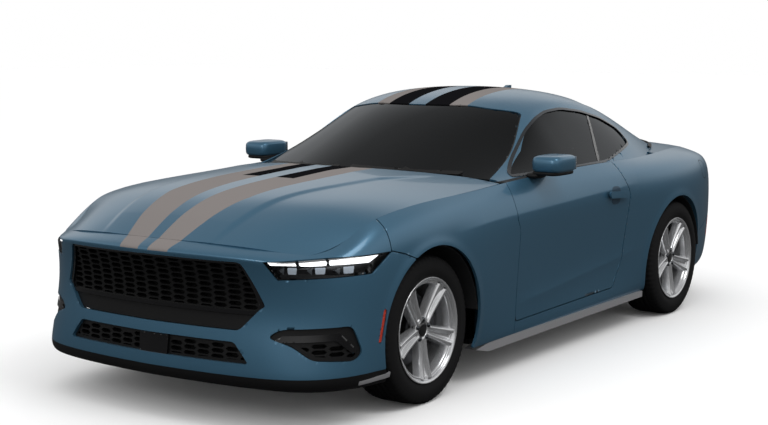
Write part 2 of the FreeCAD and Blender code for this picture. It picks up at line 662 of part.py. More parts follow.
def corner_extrusion(corners):
    """A prism along the line that looks at the left front corner from ahead and outside."""
    solid = outline(corners, "X").extrude(V(LENGTH, 0, 0))
    solid.rotate(V(0, 0, 0), V(0, 0, 1), CORNER_VIEW)
    return solid


def corner_prism(points, amount=0):
    """Such a prism from shares, kept to the car's left half and grown by an amount."""
    solid = corner_extrusion(grown_points(front_list(points), amount))
    return solid.common(box((0, OVER, 0), (LENGTH, REACH, HEIGHT)))


seam = shares_list(SEAM_SHARES)
ahead_of_seam = [(HALF_LENGTH + OVER, 0), (HALF_LENGTH + OVER, HEIGHT), (seam[0][0], HEIGHT)]
half_front = side_skin.common(prism(ahead_of_seam + seam + [(seam[-1][0], 0)], "Y", -OVER, REACH))
lamp_cut = corner_prism(LAMP_SHARES)
intake_cut = corner_prism(INTAKE_SHARES)
marker_cut = prism(shares_list(MARKER_SHARES), "Y", HALF_WIDTH / 2, REACH)
marker_fill = grown_prism(shares_list(MARKER_SHARES), "Y", HALF_WIDTH / 2, REACH, -mm("seat_gap"))
marker_left = largest(half_front.common(marker_fill))
piece(paired("side_markers", [marker_left]))
half_bumper = half_front.cut([lamp_cut, intake_cut, front_arch, marker_cut])
lens_skin = slab(SIDE, side_inner(SIDE, mm("lens_wall")))
lamp_left = lens_skin.common(corner_prism(LAMP_SHARES, -mm("seat_gap")))
lamp_room = corner_prism(LAMP_SHARES, -mm("lens_wall"))
elements = []
lamp_corners = front_list(LAMP_SHARES)
lamp_middle = (lamp_corners[0][0] + lamp_corners[3][0]) / 2
for middle in (lamp_middle - mm("projector_pitch"), lamp_middle, lamp_middle + mm("projector_pitch")):
    for kind in ("projector", "day_bar"):
        half_width = mm(kind + "_width") / 2
        half_height = mm(kind + "_height") / 2
        up = mm(kind + "_up")
        element = box((0, middle - half_width, up - half_height),
                      (LENGTH, middle + half_width, up + half_height))
        element.rotate(V(0, 0, 0), V(0, 0, 1), CORNER_VIEW)
        elements.append(element)
view = math.radians(CORNER_VIEW)
inwards = V(-math.cos(view), -math.sin(view), 0)
lamp_fill = largest(side_skin.common(lamp_room))
element_fill = lamp_fill.translated(inwards * (mm("housing_depth") - mm("housing_wall")))
housing_left = lamp_fill.translated(inwards * mm("housing_depth")).fuse(
    [element_fill.common(element) for element in elements])
intake_left = side_skin.common(corner_prism(INTAKE_SHARES, -mm("seat_gap")))
intake_left.translate(inwards * mm("intake_sink"))
whole_bumper = half_bumper.fuse(mirrored(half_bumper)).removeSplitter()
grille_cut = prism(both_sides(front_list(GRILLE_SHARES)), "X", FRONT_AXLE, LENGTH)
lower_cut = prism(both_sides(front_list(LOWER_GRILLE_SHARES)), "X", FRONT_AXLE, LENGTH)
below_lip = box((0, -REACH, -OVER), (LENGTH, REACH, mm("lip_top_up")))
above_lip = box((0, -REACH, mm("lip_top_up") + mm("seat_gap")), (LENGTH, REACH, HEIGHT + OVER))
open_bumper = whole_bumper.cut([grille_cut, lower_cut])
piece(shaped("front_bumper", largest(open_bumper.common(above_lip))))
piece(shaped("front_lip", largest(whole_bumper.common(below_lip))))

whole_skin = side_skin.fuse(mirrored(side_skin)).removeSplitter()
grille_fill = whole_skin.common(grown_prism(
    both_sides(front_list(GRILLE_SHARES)), "X", FRONT_AXLE, LENGTH, -mm("seat_gap")))
lower_fill = whole_skin.common(grown_prism(
    both_sides(front_list(LOWER_GRILLE_SHARES)), "X", FRONT_AXLE, LENGTH, -mm("seat_gap")))


def mesh_holes(low, high, half_width):
    """Wide six-sided holes in staggered columns, on both sides of the middle, as outlines."""
    across_pitch = mm("mesh_pitch_across")
    up_pitch = mm("mesh_pitch_up")
    bar = mm("mesh_bar") / 2
    holes = []
    columns = int(half_width / across_pitch) + 1
    reach = across_pitch / 2 - bar
    shoulder = reach - mm("mesh_slant")
    for column in range(-columns, columns + 1):
        middle = column * across_pitch
        start = low + (up_pitch / 2 if column % 2 else 0)
        for level in range(int((high - start) / up_pitch)):
            bottom = start + level * up_pitch + bar
            top = bottom + up_pitch - mm("mesh_bar")
            half_up = (bottom + top) / 2
            holes.append([
                (middle - reach, half_up), (middle - shoulder, bottom), (middle + shoulder, bottom),
                (middle + reach, half_up), (middle + shoulder, top), (middle - shoulder, top)])
    return holes


def meshed(fill, points):
    """The fill with mesh holes wherever a hole lies inside its frame."""
    inside = grown_prism(points, "X", FRONT_AXLE, LENGTH, -mm("mesh_edge"))
    ups = [up for across, up in points]
    half_width = max(across for across, up in points)
    holes = Part.Compound([prism(corners, "X", FRONT_AXLE, LENGTH)
                           for corners in mesh_holes(min(ups), max(ups), half_width)])
    return largest(largest(fill).cut(holes.common(inside)))


grille_fill = meshed(grille_fill, both_sides(front_list(UPPER_MESH_SHARES)))
lower_fill = meshed(lower_fill, both_sides(front_list(LOWER_GRILLE_SHARES)))
for fill in (grille_fill, lower_fill):
    fill.translate(V(-mm("grille_sink"), 0, 0))
intake_points = front_list(INTAKE_MESH_SHARES)
intake_room = corner_extrusion(grown_points(intake_points, -mm("mesh_bar")))
intake_ups = [up for across, up in intake_points]
intake_holes = []
for corners in mesh_holes(min(intake_ups), max(intake_ups), HALF_WIDTH):
    acrosses = [across for across, up in corners]
    if min(acrosses) > intake_points[0][0] and max(acrosses) < 0:
        intake_holes.append(corner_extrusion(corners))
intake_left = largest(largest(intake_left).cut(Part.Compound(intake_holes).common(intake_room)))
meshes = [shaped("upper_grille", grille_fill), shaped("lower_grille", lower_fill),
          shaped("intake_left", intake_left)]
piece(together("grilles", meshes + [mirror_of(meshes[-1])]))
piece(paired("headlamps", [largest(lamp_left)]))

# The fenders
door_front = shares_list(DOOR_SHARES)[:4]
SILL_LOW = mm("sill_low_up")
low_cut = box((-HALF_LENGTH, 0, 0), (FRONT_AXLE, REACH, SILL_LOW))
fender_outline = [(seam[0][0] - GAP, HEIGHT), (seam[0][0] - GAP, seam[0][1])]
fender_outline += [(along - GAP, up) for along, up in seam[1:]] + [(FRONT_AXLE, AXLE_UP)]
fender_outline += [(FRONT_AXLE, 0), (door_front[3][0] + GAP, 0)]
fender_outline += [(along + GAP, up) for along, up in door_front[::-1]]
fender_outline += [(door_front[0][0] + GAP, HEIGHT)]
hinge_along = door_front[3][0] - mm("hinge_behind_edge")
hinge_across = mm("hinge_across")
SWING_UP_SHARES = [192, 260, 330, 400, 475, 520, 560, 600, 640, 670]


def door_edge(up):
    """Where the door's front edge lies at a height."""
    for (high_along, high_up), (low_along, low_up) in zip(door_front, door_front[1:]):
        if low_up <= up <= high_up:
            return low_along + (high_along - low_along) * (up - low_up) / (high_up - low_up)
    return door_front[-1][0]


def skin_across(along, up):
    """How far out the body side lies at a place seen from the side."""
    line = Part.makeLine(V(along, OVER, up), V(along, REACH, up))
    return max(vertex.Point.y for vertex in side_thick.common(line).Vertexes)


swing = []
for up in [share * HEIGHT / PER_MILLE for share in SWING_UP_SHARES]:
    ahead = door_edge(up) - hinge_along
    swing.append((math.hypot(ahead, skin_across(door_edge(up), up) - hinge_across) + mm("swing_gap"), up))
swing = [(0, 0), (swing[0][0], 0)] + swing + [(swing[-1][0], HEIGHT), (0, HEIGHT)]
relief = outline(swing, "Y").revolve(V(0, 0, 0), V(0, 0, 1), FULL_TURN)
relief.translate(V(hinge_along, hinge_across, 0))
inner_relief = Part.makeCylinder(
    mm("swing_radius"), mm("relief_height"), V(hinge_along, hinge_across, mm("relief_low_up")))
fender = side_skin.common(prism(fender_outline, "Y", -OVER, REACH)).cut(
    [front_arch, under_front, lamp_cut, low_cut, relief])
handed("fender", largest(fender))

# The doors
door_points = shares_list(DOOR_SHARES)
door_solid = side_thick.common(grown_prism(door_points, "Y", mm("door_inner_across"), REACH, 0))
pin_bore = Part.makeCylinder(mm("door_pin_radius") + mm("pin_gap"), mm("door_bore_length"),
                             V(hinge_along, hinge_across, mm("door_bore_low_up")))
door_left = largest(door_solid.cut(pin_bore))
handed("door", door_left)

# The cabin: glass, roof and pillars
GLASS_SHARES = [(236, 699), (119, 777), (52, 848), (-4, 888), (-62, 911), (-137, 918), (-236, 901),
                (-343, 865), (-420, 816), (-428, 755), (-286, 724), (-206, 705)]
DIVIDER_SHARES = [(-167, 660), (-167, 705), (-274, 884), (-300, 960)]
SCREEN_SHARES = [(0, 680), (800, 680), (790, 696), (619, 889), (591, 914), (323, 939), (0, 945)]
ROOF_SHARES = [(200, 620), (-300, 620), (-300, -620), (200, -620)]
REAR_GLASS_SHARES = [(-306, 560), (-730, 500), (-730, -500), (-306, -560)]
ROOF_LOW_SHARE = 0.8
REAR_GLASS_LOW_SHARE = 0.5
LID_LOW_SHARE = 0.3
SKIRT_LOW_SHARE = 0.6
SKIRT_TOP_SHARE = 0.72


def plan_list(points):
    return [(along * HALF_LENGTH / PER_MILLE, across * HALF_WIDTH / PER_MILLE) for along, across in points]


cabin_thick = slab(CABIN, sheet_inner(CABIN, mm("pillar_wall")))
cabin_glass = slab(CABIN, sheet_inner(CABIN, mm("glass_thickness")))
side_glass_cut = prism(shares_list(GLASS_SHARES), "Y", OVER, REACH)
screen_points = both_sides(front_list(SCREEN_SHARES))
screen_cut = prism(screen_points, "X", 0, HALF_LENGTH)
roof_cut = prism(plan_list(ROOF_SHARES), "Z", HEIGHT * ROOF_LOW_SHARE, HEIGHT + OVER)
rear_glass_cut = prism(plan_list(REAR_GLASS_SHARES), "Z", HEIGHT * REAR_GLASS_LOW_SHARE, HEIGHT + OVER)
upper = box((-HALF_LENGTH, 0, 0), (HALF_LENGTH, REACH, HEIGHT + OVER))

windscreen = cabin_glass.common(grown_prism(screen_points, "X", 0, HALF_LENGTH, -mm("seat_gap")))
piece(shaped("windscreen", largest(windscreen)))
roof = cabin_thick.common(grown_prism(
    plan_list(ROOF_SHARES), "Z", HEIGHT * ROOF_LOW_SHARE, HEIGHT + OVER, -mm("seat_gap")))
piece(shaped("roof_panel", largest(roof.cut(screen_cut))))
rear_glass = cabin_glass.common(grown_prism(
    plan_list(REAR_GLASS_SHARES), "Z", HEIGHT * REAR_GLASS_LOW_SHARE, HEIGHT + OVER, -mm("seat_gap")))
piece(shaped("rear_window", largest(rear_glass)))
divider = shares_list(DIVIDER_SHARES)
ahead = prism(divider + [(HALF_LENGTH, HEIGHT), (HALF_LENGTH, 0)], "Y", OVER, REACH)
glass_points = shares_list(GLASS_SHARES)
side_glass = cabin_glass.common(grown_prism(glass_points, "Y", OVER, REACH, -GAP))
skirt_front = glass_points[0][0] - mm("glass_skirt_gap")
skirt_rear = glass_points[-1][0]
skirt_points = [(skirt_front, HEIGHT * SKIRT_TOP_SHARE), (skirt_front, HEIGHT * SKIRT_LOW_SHARE),
                (skirt_rear, HEIGHT * SKIRT_LOW_SHARE), (skirt_rear, HEIGHT * SKIRT_TOP_SHARE)]
skirted = grown_prism(glass_points, "Y", OVER, REACH, -GAP).fuse(prism(skirt_points, "Y", OVER, REACH))
near_screen = grown_prism(screen_points, "X", 0, HALF_LENGTH, GAP)
door_glass = largest(cabin_glass.common(skirted).common(ahead).cut([door_left, near_screen]))
handed("door_glass", door_glass)
behind_cut = prism([(along - GAP, up) for along, up in divider]
                   + [(HALF_LENGTH, HEIGHT), (HALF_LENGTH, 0)], "Y", OVER, REACH)
quarter_glass = largest(side_glass.cut(behind_cut))
piece(paired("quarter_glass", [quarter_glass]))

# The body side: rear quarter, pillars, rocker and roof rail in one
tail_line = [(mm("tail_seam_top_along"), HEIGHT), (mm("tail_seam_high_along"), mm("tail_seam_high_up")),
             (mm("tail_seam_middle_along"), mm("tail_seam_middle_up")),
             (mm("tail_seam_low_along"), mm("tail_seam_low_up")), (mm("tail_seam_low_along"), 0)]
grown_door = grown(door_points, "Y", GAP)
grown_door.translate(V(0, mm("door_inner_across") - GAP, 0))
door_hole = grown_door.extrude(V(0, REACH, 0))
quarter_side = box((-HALF_LENGTH - OVER, -OVER, SILL_LOW),
                   (door_points[-1][0] + mm("quarter_overlap"), REACH, HEIGHT))
tail_cut = prism(tail_line + [(-HALF_LENGTH - OVER, 0), (-HALF_LENGTH - OVER, HEIGHT)], "Y", -OVER, REACH)
DECKLID_SHARES = [(-802, 560), (-885, 535), (-935, 330), (-945, 0)]
decklid_plan = plan_list(DECKLID_SHARES)
decklid_plan = decklid_plan + [(along, -across) for along, across in decklid_plan[::-1] if across > GAP]
lid_hinge_along = decklid_plan[0][0] - mm("lid_hinge_behind")
lid_hinge_up = mm("lid_hinge_up")
lid_front_up = mm("lid_front_up")
lid_sweep = math.hypot(mm("lid_hinge_behind"), lid_front_up - lid_hinge_up) + mm("swing_gap")
half_lid = decklid_plan[0][1] + GAP
decklid_relief = Part.makeCylinder(
    lid_sweep, half_lid + half_lid, V(lid_hinge_along, -half_lid, lid_hinge_up), V(0, 1, 0))
lid_gap = mm("lid_hinge_gap")
decklid_hole = grown_prism(decklid_plan, "Z", HEIGHT * LID_LOW_SHARE, HEIGHT, lid_gap).fuse(decklid_relief)
TAIL_LAMP_SHARES = [(180, 560), (640, 575), (640, 650), (170, 640)]
TAIL_BARS = 3
TAIL_DEPTH_SHARE = 0.9


def tail_lamp_bars(amount):
    """Three upright lamps a side, as prisms through the tail panel, grown by an amount."""
    (inner_low, low), (outer_low, low_out), *tops = front_list(TAIL_LAMP_SHARES)
    (outer_top, top_out), (inner_top, top) = tops
    gap = mm("tail_bar_gap")
    bars = []
    for bar in range(TAIL_BARS):
        start = bar / TAIL_BARS
        end = (bar + 1) / TAIL_BARS
        near = gap / 2 if bar else 0
        far = gap / 2 if bar + 1 < TAIL_BARS else 0
        corners = [(inner_low + (outer_low - inner_low) * start + near, low + (low_out - low) * start),
                   (inner_low + (outer_low - inner_low) * end - far, low + (low_out - low) * end),
                   (inner_top + (outer_top - inner_top) * end - far, top + (top_out - top) * end),
                   (inner_top + (outer_top - inner_top) * start + near, top + (top_out - top) * start)]
        bars.append(grown_prism(corners, "X", -HALF_LENGTH - OVER, -HALF_LENGTH * TAIL_DEPTH_SHARE, amount))
    return bars


tail_lamp_cut = Part.Compound(tail_lamp_bars(0))
skirt_hole = grown_prism(skirt_points, "Y", OVER, REACH, GAP)
pillars = cabin_thick.common(upper).cut(
    [side_glass_cut, screen_cut, roof_cut, rear_glass_cut, door_hole, decklid_hole, skirt_hole])
quarter = side_skin.common(quarter_side).cut([door_hole, rear_arch, tail_cut, tail_lamp_cut, decklid_hole])
sill_inside = mm("sill_inner_across")
jamb = side_thick.common(box((mm("jamb_rear_along"), mm("door_inner_across"), SILL_LOW),
                             (mm("jamb_front_along"), REACH, HEIGHT))).cut([door_hole, rear_arch])
rocker_end = door_front[3][0] + GAP - mm("seat_gap")
rocker = side_thick.common(box((mm("rocker_rear_along"), sill_inside, SILL_LOW),
                               (rocker_end, REACH, mm("rocker_top_up")))).cut([door_hole, rear_arch])
hinge_pin = Part.makeCylinder(mm("door_pin_radius"), mm("door_pin_length"),
                              V(hinge_along, hinge_across, mm("door_pin_low_up")))
post_front = mm("hinge_post_front_along")
post_top = mm("hinge_post_top_up")
foot_inside = mm("hinge_foot_inner_across")
foot_outside = mm("hinge_foot_outer_across")
rocker_step = box((mm("rocker_rear_along"), sill_inside, SILL_LOW),
                  (post_front, mm("door_inner_across") - GAP, mm("rocker_top_up")))
rocker_step = rocker_step.cut([rear_arch, inner_relief])
hinge_post = box((mm("hinge_post_rear_along"), sill_inside, SILL_LOW),
                 (post_front, mm("hinge_post_outer_across"), post_top))
hinge_foot = box((mm("hinge_foot_rear_along"), foot_inside, mm("hinge_foot_low_up")),
                 (mm("hinge_post_rear_along"), foot_outside, mm("hinge_foot_top_up")))
hinge_low = box((mm("hinge_low_rear_along"), foot_inside, mm("hinge_low_low_up")),
                (post_front, foot_outside, post_top))
side_parts = [jamb, rocker, rocker_step, hinge_post, hinge_foot, hinge_low, largest(pillars)]
body_side = quarter.fuse(side_parts).cut(inner_relief).fuse(hinge_pin)
handed("body_side", largest(body_side))

# The rear bumper
half_rear = side_skin.common(prism(
    [(along - GAP, up) for along, up in tail_line]
    + [(-HALF_LENGTH - OVER, 0), (-HALF_LENGTH - OVER, HEIGHT)], "Y", -OVER, REACH)).cut(rear_arch)
rear_bumper = half_rear.fuse(mirrored(half_rear)).removeSplitter()
tail_fills = [largest(whole_skin.common(bar)) for bar in tail_lamp_bars(-mm("seat_gap"))]
rear_cover = rear_bumper.cut([tail_lamp_cut, mirrored(tail_lamp_cut), decklid_hole])
diffuser_side = mm("diffuser_half_width")
diffuser_top = mm("diffuser_top_up")
diffuser_gap = mm("seat_gap")
diffuser_room = box((-LENGTH, -diffuser_side, -OVER), (REAR_AXLE, diffuser_side, diffuser_top))
diffuser_hole = box((-LENGTH, -diffuser_side - diffuser_gap, -OVER),
                    (REAR_AXLE, diffuser_side + diffuser_gap, diffuser_top + diffuser_gap))
piece(shaped("rear_bumper", largest(rear_cover.cut(diffuser_hole))))
piece(shaped("rear_diffuser", largest(rear_cover.common(diffuser_room))))
piece(paired("tail_lamps", tail_fills))

# The hood and the decklid
hood_skin = slab(HOOD, sheet_inner(HOOD, mm("lid_skin_wall")))
HOOD_REAR_SHARES = [(350, 640), (400, 400), (437, 200), (446, 0)]
HOOD_EDGE_POINTS = 160
edge = [p for p in shutline.discretize(HOOD_EDGE_POINTS) if p.x > mm("hood_edge_end_along")]
plan = [(p.x, p.y) for p in edge] + plan_list(HOOD_REAR_SHARES)
hood_plan = plan + [(along, -across) for along, across in plan[::-1] if across > GAP]
hood = hood_skin.common(grown_prism(hood_plan, "Z", HEIGHT * LID_LOW_SHARE, HEIGHT, -GAP))
hood_room = slab(HOOD, sheet_inner(HOOD, mm("lid_skin_wall") + GAP)).common(
    grown_prism(hood_plan, "Z", HEIGHT * LID_LOW_SHARE, HEIGHT, 0))
housing_left = largest(housing_left.cut(hood_room))
piece(paired("lamp_housings", [housing_left]))


def hinge_ear(along, across, up, top):
    """A lug under a lid, and the bore for its hinge pin."""
    width = mm("ear_width")
    start = across - width / 2
    radius = mm("ear_radius")
    lug = Part.makeCylinder(radius, width, V(along, start, up), V(0, 1, 0))
    web = box((along - radius, start, up), (along + radius, start + width, top))
    bore = Part.makeCylinder(
        mm("pin_radius") + mm("pin_gap"), width + width, V(along, across - width, up), V(0, 1, 0))
    return lug.fuse(web), bore


def hinge_bracket(along, across, up, foot):
    """A pin for one lid hinge, on a plate beside the lug."""
    start = across - mm("ear_width") / 2
    gap = mm("swing_gap")
    thick = mm("hinge_plate")
    plate_start = start + mm("ear_width") + gap
    pin = Part.makeCylinder(mm("pin_radius"), mm("ear_width") + gap + gap, V(along, start, up), V(0, 1, 0))
    boss = Part.makeCylinder(
        mm("pin_radius") + mm("pin_boss_wall"), thick, V(along, plate_start, up), V(0, 1, 0))
    plate = box((along - thick, plate_start, foot), (along + thick, plate_start + thick, up))
    return pin.fuse([boss, plate])


hood_hinge = (mm("hood_hinge_along"), mm("hood_hinge_across"), mm("hood_hinge_up"))
hood_ear, hood_bore = hinge_ear(*hood_hinge, mm("hood_ear_top_up"))
hood = largest(hood).fuse([hood_ear, mirrored(hood_ear)]).cut([hood_bore, mirrored(hood_bore)])
piece(shaped("hood", largest(hood)))
hood_bracket = hinge_bracket(*hood_hinge, mm("hood_bracket_foot_up"))
deck_skin = slab(DECK, sheet_inner(DECK, mm("lid_skin_wall")))
decklid = largest(deck_skin.common(prism(decklid_plan, "Z", HEIGHT * LID_LOW_SHARE, HEIGHT)))
lid_hinge = (lid_hinge_along, mm("lid_hinge_across"), lid_hinge_up)
lid_ear, lid_bore = hinge_ear(*lid_hinge, mm("lid_ear_top_up"))
decklid = decklid.fuse([lid_ear, mirrored(lid_ear)]).cut([lid_bore, mirrored(lid_bore)])
piece(shaped("decklid", largest(decklid)))
lid_bracket = hinge_bracket(*lid_hinge, mm("lid_bracket_foot_up"))
lid_bar_start = mm("lid_hinge_across") + mm("ear_width") / 2 + mm("swing_gap")
lid_bar = box((lid_hinge_along - mm("hinge_plate"), lid_bar_start, mm("lid_bar_low_up")),
              (lid_hinge_along + mm("hinge_plate"), mm("lid_bar_outer_across"), mm("lid_bar_top_up")))
deck_rest = deck_skin.cut([decklid_hole, cabin_thick, side_skin, mirrored(side_skin)])
piece(shaped("deck_panel", largest(deck_rest)))

# Wheels: the rim, tyre and brake disc about their own middle, with the axle along the car's width
def ring(points):
    corners = [V(0, across, radius) for across, radius in points]
    return Part.Face(Part.makePolygon(corners + corners[:1])).revolve(V(0, 0, 0), V(0, 1, 0), FULL_TURN)


def axle_cylinder(radius, start, end):
    return Part.makeCylinder(radius, end - start, V(0, start, 0), V(0, 1, 0))


half_rim = mm("rim_width") / 2
half_bead = mm("tyre_bead_width") / 2
lip_radius = mm("rim_radius")
bead_seat = mm("tyre_bead_radius") - mm("seat_gap")
barrel = mm("rim_barrel_radius")
barrel_wall = mm("rim_barrel_wall")
outer_rim = [(half_rim, lip_radius), (half_bead, lip_radius), (half_bead, bead_seat),
             (mm("bead_shelf_across"), bead_seat), (mm("drop_well_across"), barrel)]
inner_rim = [(half_rim, lip_radius - barrel_wall), (mm("bead_inside_across"), bead_seat - barrel_wall),
             (mm("drop_well_across"), barrel - barrel_wall)]
rim_profile = ([(-a, r) for a, r in outer_rim] + outer_rim[::-1] + inner_rim
               + [(-a, r) for a, r in inner_rim[::-1]])
spindle_radius = mm("spindle_radius")
face_in = mm("hub_face_inset")
face_out = face_in + mm("hub_depth")
spoke_count = int(mm("spoke_count"))
spoke_turn = FULL_TURN / spoke_count
half_turn = FULL_TURN / 2
barrel_inside = barrel - barrel_wall / 2


def spread_round(shape, start):
    """A copy of a shape for each spoke round the axle, the first turned by a start angle."""
    return [shape.rotated(V(0, 0, 0), V(0, 1, 0), start + spoke_turn * turn) for turn in range(spoke_count)]


def tapered(stations, start, end):
    """A bar along +Z, symmetric about it, from pairs of half width and radius."""
    near_side = [(-half, radius) for half, radius in stations]
    return prism(near_side + stations[::-1], "Y", start, end)


waist = mm("spoke_waist_radius")
beyond = face_out + face_out
spoke_plan = tapered([(mm("spoke_root_width") / 2, 0), (mm("spoke_waist_width") / 2, waist),
                      (mm("spoke_tip_width") / 2, barrel_inside)], 0, beyond)
groove = tapered([(mm("groove_root_width") / 2, mm("groove_start")),
                  (mm("groove_tip_width") / 2, barrel_inside)], 0, beyond)
spoke_back = face_out - mm("spoke_depth")
spoke_front = face_out + mm("spoke_rise")
dish = ring([(spoke_back, 0), (face_out, 0), (face_out, mm("hub_radius")), (spoke_front, waist),
             (spoke_front, barrel_inside), (spoke_back + mm("spoke_rise"), barrel_inside),
             (spoke_back, mm("hub_radius"))])
groove_depth = mm("groove_depth")
sunk = ring([(spoke_front + OVER, mm("groove_start")), (spoke_front + OVER, barrel_inside - barrel_wall),
             (spoke_front - groove_depth, barrel_inside - barrel_wall),
             (spoke_front - groove_depth, waist), (face_out - groove_depth / 2, mm("groove_start"))])
hub = axle_cylinder(mm("hub_radius"), face_in, face_out)
lug = Part.makeCylinder(mm("lug_hole_radius"), mm("rim_width"), V(0, 0, mm("lug_circle_radius")), V(0, 1, 0))
lug_recess = Part.makeCylinder(mm("lug_recess_radius"), OVER,
                               V(0, face_out - mm("lug_recess_depth"), mm("lug_circle_radius")), V(0, 1, 0))
all_spokes = spoke_plan.fuse(spread_round(spoke_plan, 0)[1:])
star = dish.common(all_spokes.rotated(V(0, 0, 0), V(0, 1, 0), half_turn))
grooves = [sunk.common(shape) for shape in spread_round(groove, half_turn)]
between = half_turn + spoke_turn / 2
cap_bore = axle_cylinder(spindle_radius + mm("cap_bore_gap"), 0, face_in + mm("cap_depth"))
rim_shape = ring(rim_profile).fuse([hub, star]).cut(
    grooves + spread_round(lug, between) + spread_round(lug_recess, between) + [cap_bore]).removeSplitter()
rim = shaped("rim", rim_shape)

bead = ("tyre_bead_width / 2 - seat_gap", "tyre_bead_radius")
tyre_outside = [bead, ("tyre_bead_width / 2 - seat_gap", "tyre_lip_radius"),
                ("tyre_width / 2", "tyre_wide_radius"), ("tyre_crown_width / 2", "tyre_radius")]
tyre_inside = [("tyre_bead_width / 2 - tyre_wall", "tyre_bead_radius"),
               ("tyre_width / 2 - tyre_wall", "tyre_wide_radius"),
               ("tyre_crown_width / 2 - tyre_wall / 2", "tyre_radius - tyre_wall")]
tyre = turned_body("tyre", opposite(tyre_outside) + tyre_outside[::-1]
                   + tyre_inside + opposite(tyre_inside)[::-1])
disc_inside = "-disc_from_wheel_middle - disc_face_gap - disc_thickness"
disc_outside = "-disc_from_wheel_middle - disc_face_gap"
disc = turned_body("brake_disc", [
    (disc_inside, "disc_radius"), (disc_outside, "disc_radius"), (disc_outside, "disc_hat_radius"),
    ("hub_face_inset - seat_gap", "disc_hat_radius"),
    ("hub_face_inset - seat_gap", "spindle_radius + spindle_gap"),
    ("hub_face_inset - disc_hat_wall", "spindle_radius + spindle_gap"),
    ("hub_face_inset - disc_hat_wall", "disc_hat_radius - disc_hat_wall"),
    (disc_inside, "disc_hat_radius - disc_hat_wall")])

# The upright that carries a wheel: spindle, plate and calliper, with the left wheel's outside at +Y
disc_out = -mm("disc_from_wheel_middle") - mm("disc_face_gap")
disc_in = disc_out - mm("disc_thickness")
plate_in = disc_in - mm("upright_depth")
spindle = axle_cylinder(mm("hub_bearing_radius"), plate_in, face_in - mm("bearing_inset")).fuse(
    axle_cylinder(spindle_radius, face_in - mm("spindle_root"), face_in + mm("spindle_nose")))
shell = mm("caliper_wall")
pad_gap = mm("pad_gap")
caliper_face = outline([
    (disc_in - shell, mm("caliper_inner_radius")), (disc_in - shell, mm("caliper_outer_radius")),
    (disc_out + shell, mm("caliper_outer_radius")), (disc_out + shell, mm("caliper_inner_radius")),
    (disc_out + pad_gap, mm("caliper_inner_radius")), (disc_out + pad_gap, mm("caliper_bridge_radius")),
    (disc_in - pad_gap, mm("caliper_bridge_radius")), (disc_in - pad_gap, mm("caliper_inner_radius"))], "X")
caliper = caliper_face.revolve(V(0, 0, 0), V(0, 1, 0), mm("caliper_angle"))
caliper.rotate(V(0, 0, 0), V(0, 1, 0), -mm("caliper_start_angle"))
half_plate = mm("upright_width") / 2
plate = box((-half_plate, plate_in, -mm("upright_reach")),
            (half_plate, disc_in - mm("upright_front_gap"), mm("upright_reach")))
half_bracket = mm("bracket_height") / 2
bracket = box((-mm("bracket_length"), disc_in - mm("bracket_depth"), -half_bracket),
              (0, disc_in - mm("bracket_front_gap"), half_bracket))
upright = spindle.fuse([plate, caliper, bracket]).removeSplitter()
kingpin_in = mm("kingpin_from_middle") - mm("front_track") / 2
ear_end = kingpin_in + mm("joint_ear_radius")
half_upper_ear = mm("upper_ear_width") / 2
half_lower_ear = mm("lower_ear_width") / 2
ear_low = mm("upright_reach") - mm("joint_ear_thickness")
upper_ear = box((-half_upper_ear, plate_in, ear_low), (half_upper_ear, ear_end, mm("upright_reach")))
joint_size = (mm("ball_joint_radius"), mm("ball_joint_length"))
pin_up = Part.makeCylinder(*joint_size, V(0, kingpin_in, mm("upper_joint_rise")))
lower_ear = box((-half_lower_ear, plate_in, -mm("upright_reach")), (half_lower_ear, ear_end, -ear_low))
pin_down = Part.makeCylinder(*joint_size, V(0, kingpin_in, -mm("lower_joint_drop")))
knuckle = shaped("knuckle", upright.fuse([upper_ear, pin_up, lower_ear, pin_down]))

for source in (rim, tyre, disc):
    for end in ("front", "rear"):
        left = placed(source, end)
        piece(left)
        piece(mirror_of(left))
knuckle_left = together("knuckle_left", [knuckle])
seat_at(knuckle_left, "front_axle_along", "front_track / 2", "axle_up")
piece(knuckle_left)
piece(mirror_of(knuckle_left))

# Suspension and subframes
def arm(name, up):
    """A flat arm from the subframe to an eye round the ball joint."""
    bar = block(name + "_bar",
                ("front_axle_along - arm_width / 2", "arm_inner_across", up + " - arm_thickness / 2"),
                ("front_axle_along + arm_width / 2", "kingpin_from_middle", up + " + arm_thickness / 2"))
    eye = rod(name + "_eye", "arm_eye_radius", "arm_thickness",
              ("front_axle_along", "kingpin_from_middle", up + " - arm_thickness / 2"))
    bore = rod(name + "_bore", "arm_bore_radius", "2 * arm_thickness",
               ("front_axle_along", "kingpin_from_middle", up + " - arm_thickness"))
    return cut_from(name, fused(name + "_solid", [bar, eye]), bore)


low_arm = arm("lower_arm", "axle_up - arm_spread")
high_arm = arm("upper_arm", "axle_up + arm_spread")
strut = rod("coil_over", "coil_over_radius", "coil_over_length",
            ("front_axle_along", "coil_over_across", "coil_over_low_up"))
cross = block("front_cross_member", ("front_axle_along - cross_length / 2", "0", "cross_low_up"),
              ("front_axle_along + cross_length / 2", "cross_half_width", "cross_top_up"))
arm_tower = block("front_arm_tower",
                  ("front_axle_along - arm_tower_length / 2", "arm_tower_inner_across", "cross_low_up"),
                  ("front_axle_along + arm_tower_length / 2", "arm_tower_outer_across", "arm_tower_top_up"))
half_front_frame = fused("front_frame_half", [cross, low_arm, arm_tower, high_arm, strut])
piece(fused("front_suspension", [half_front_frame, mirror_of(half_front_frame, "front_frame_other_half")]))

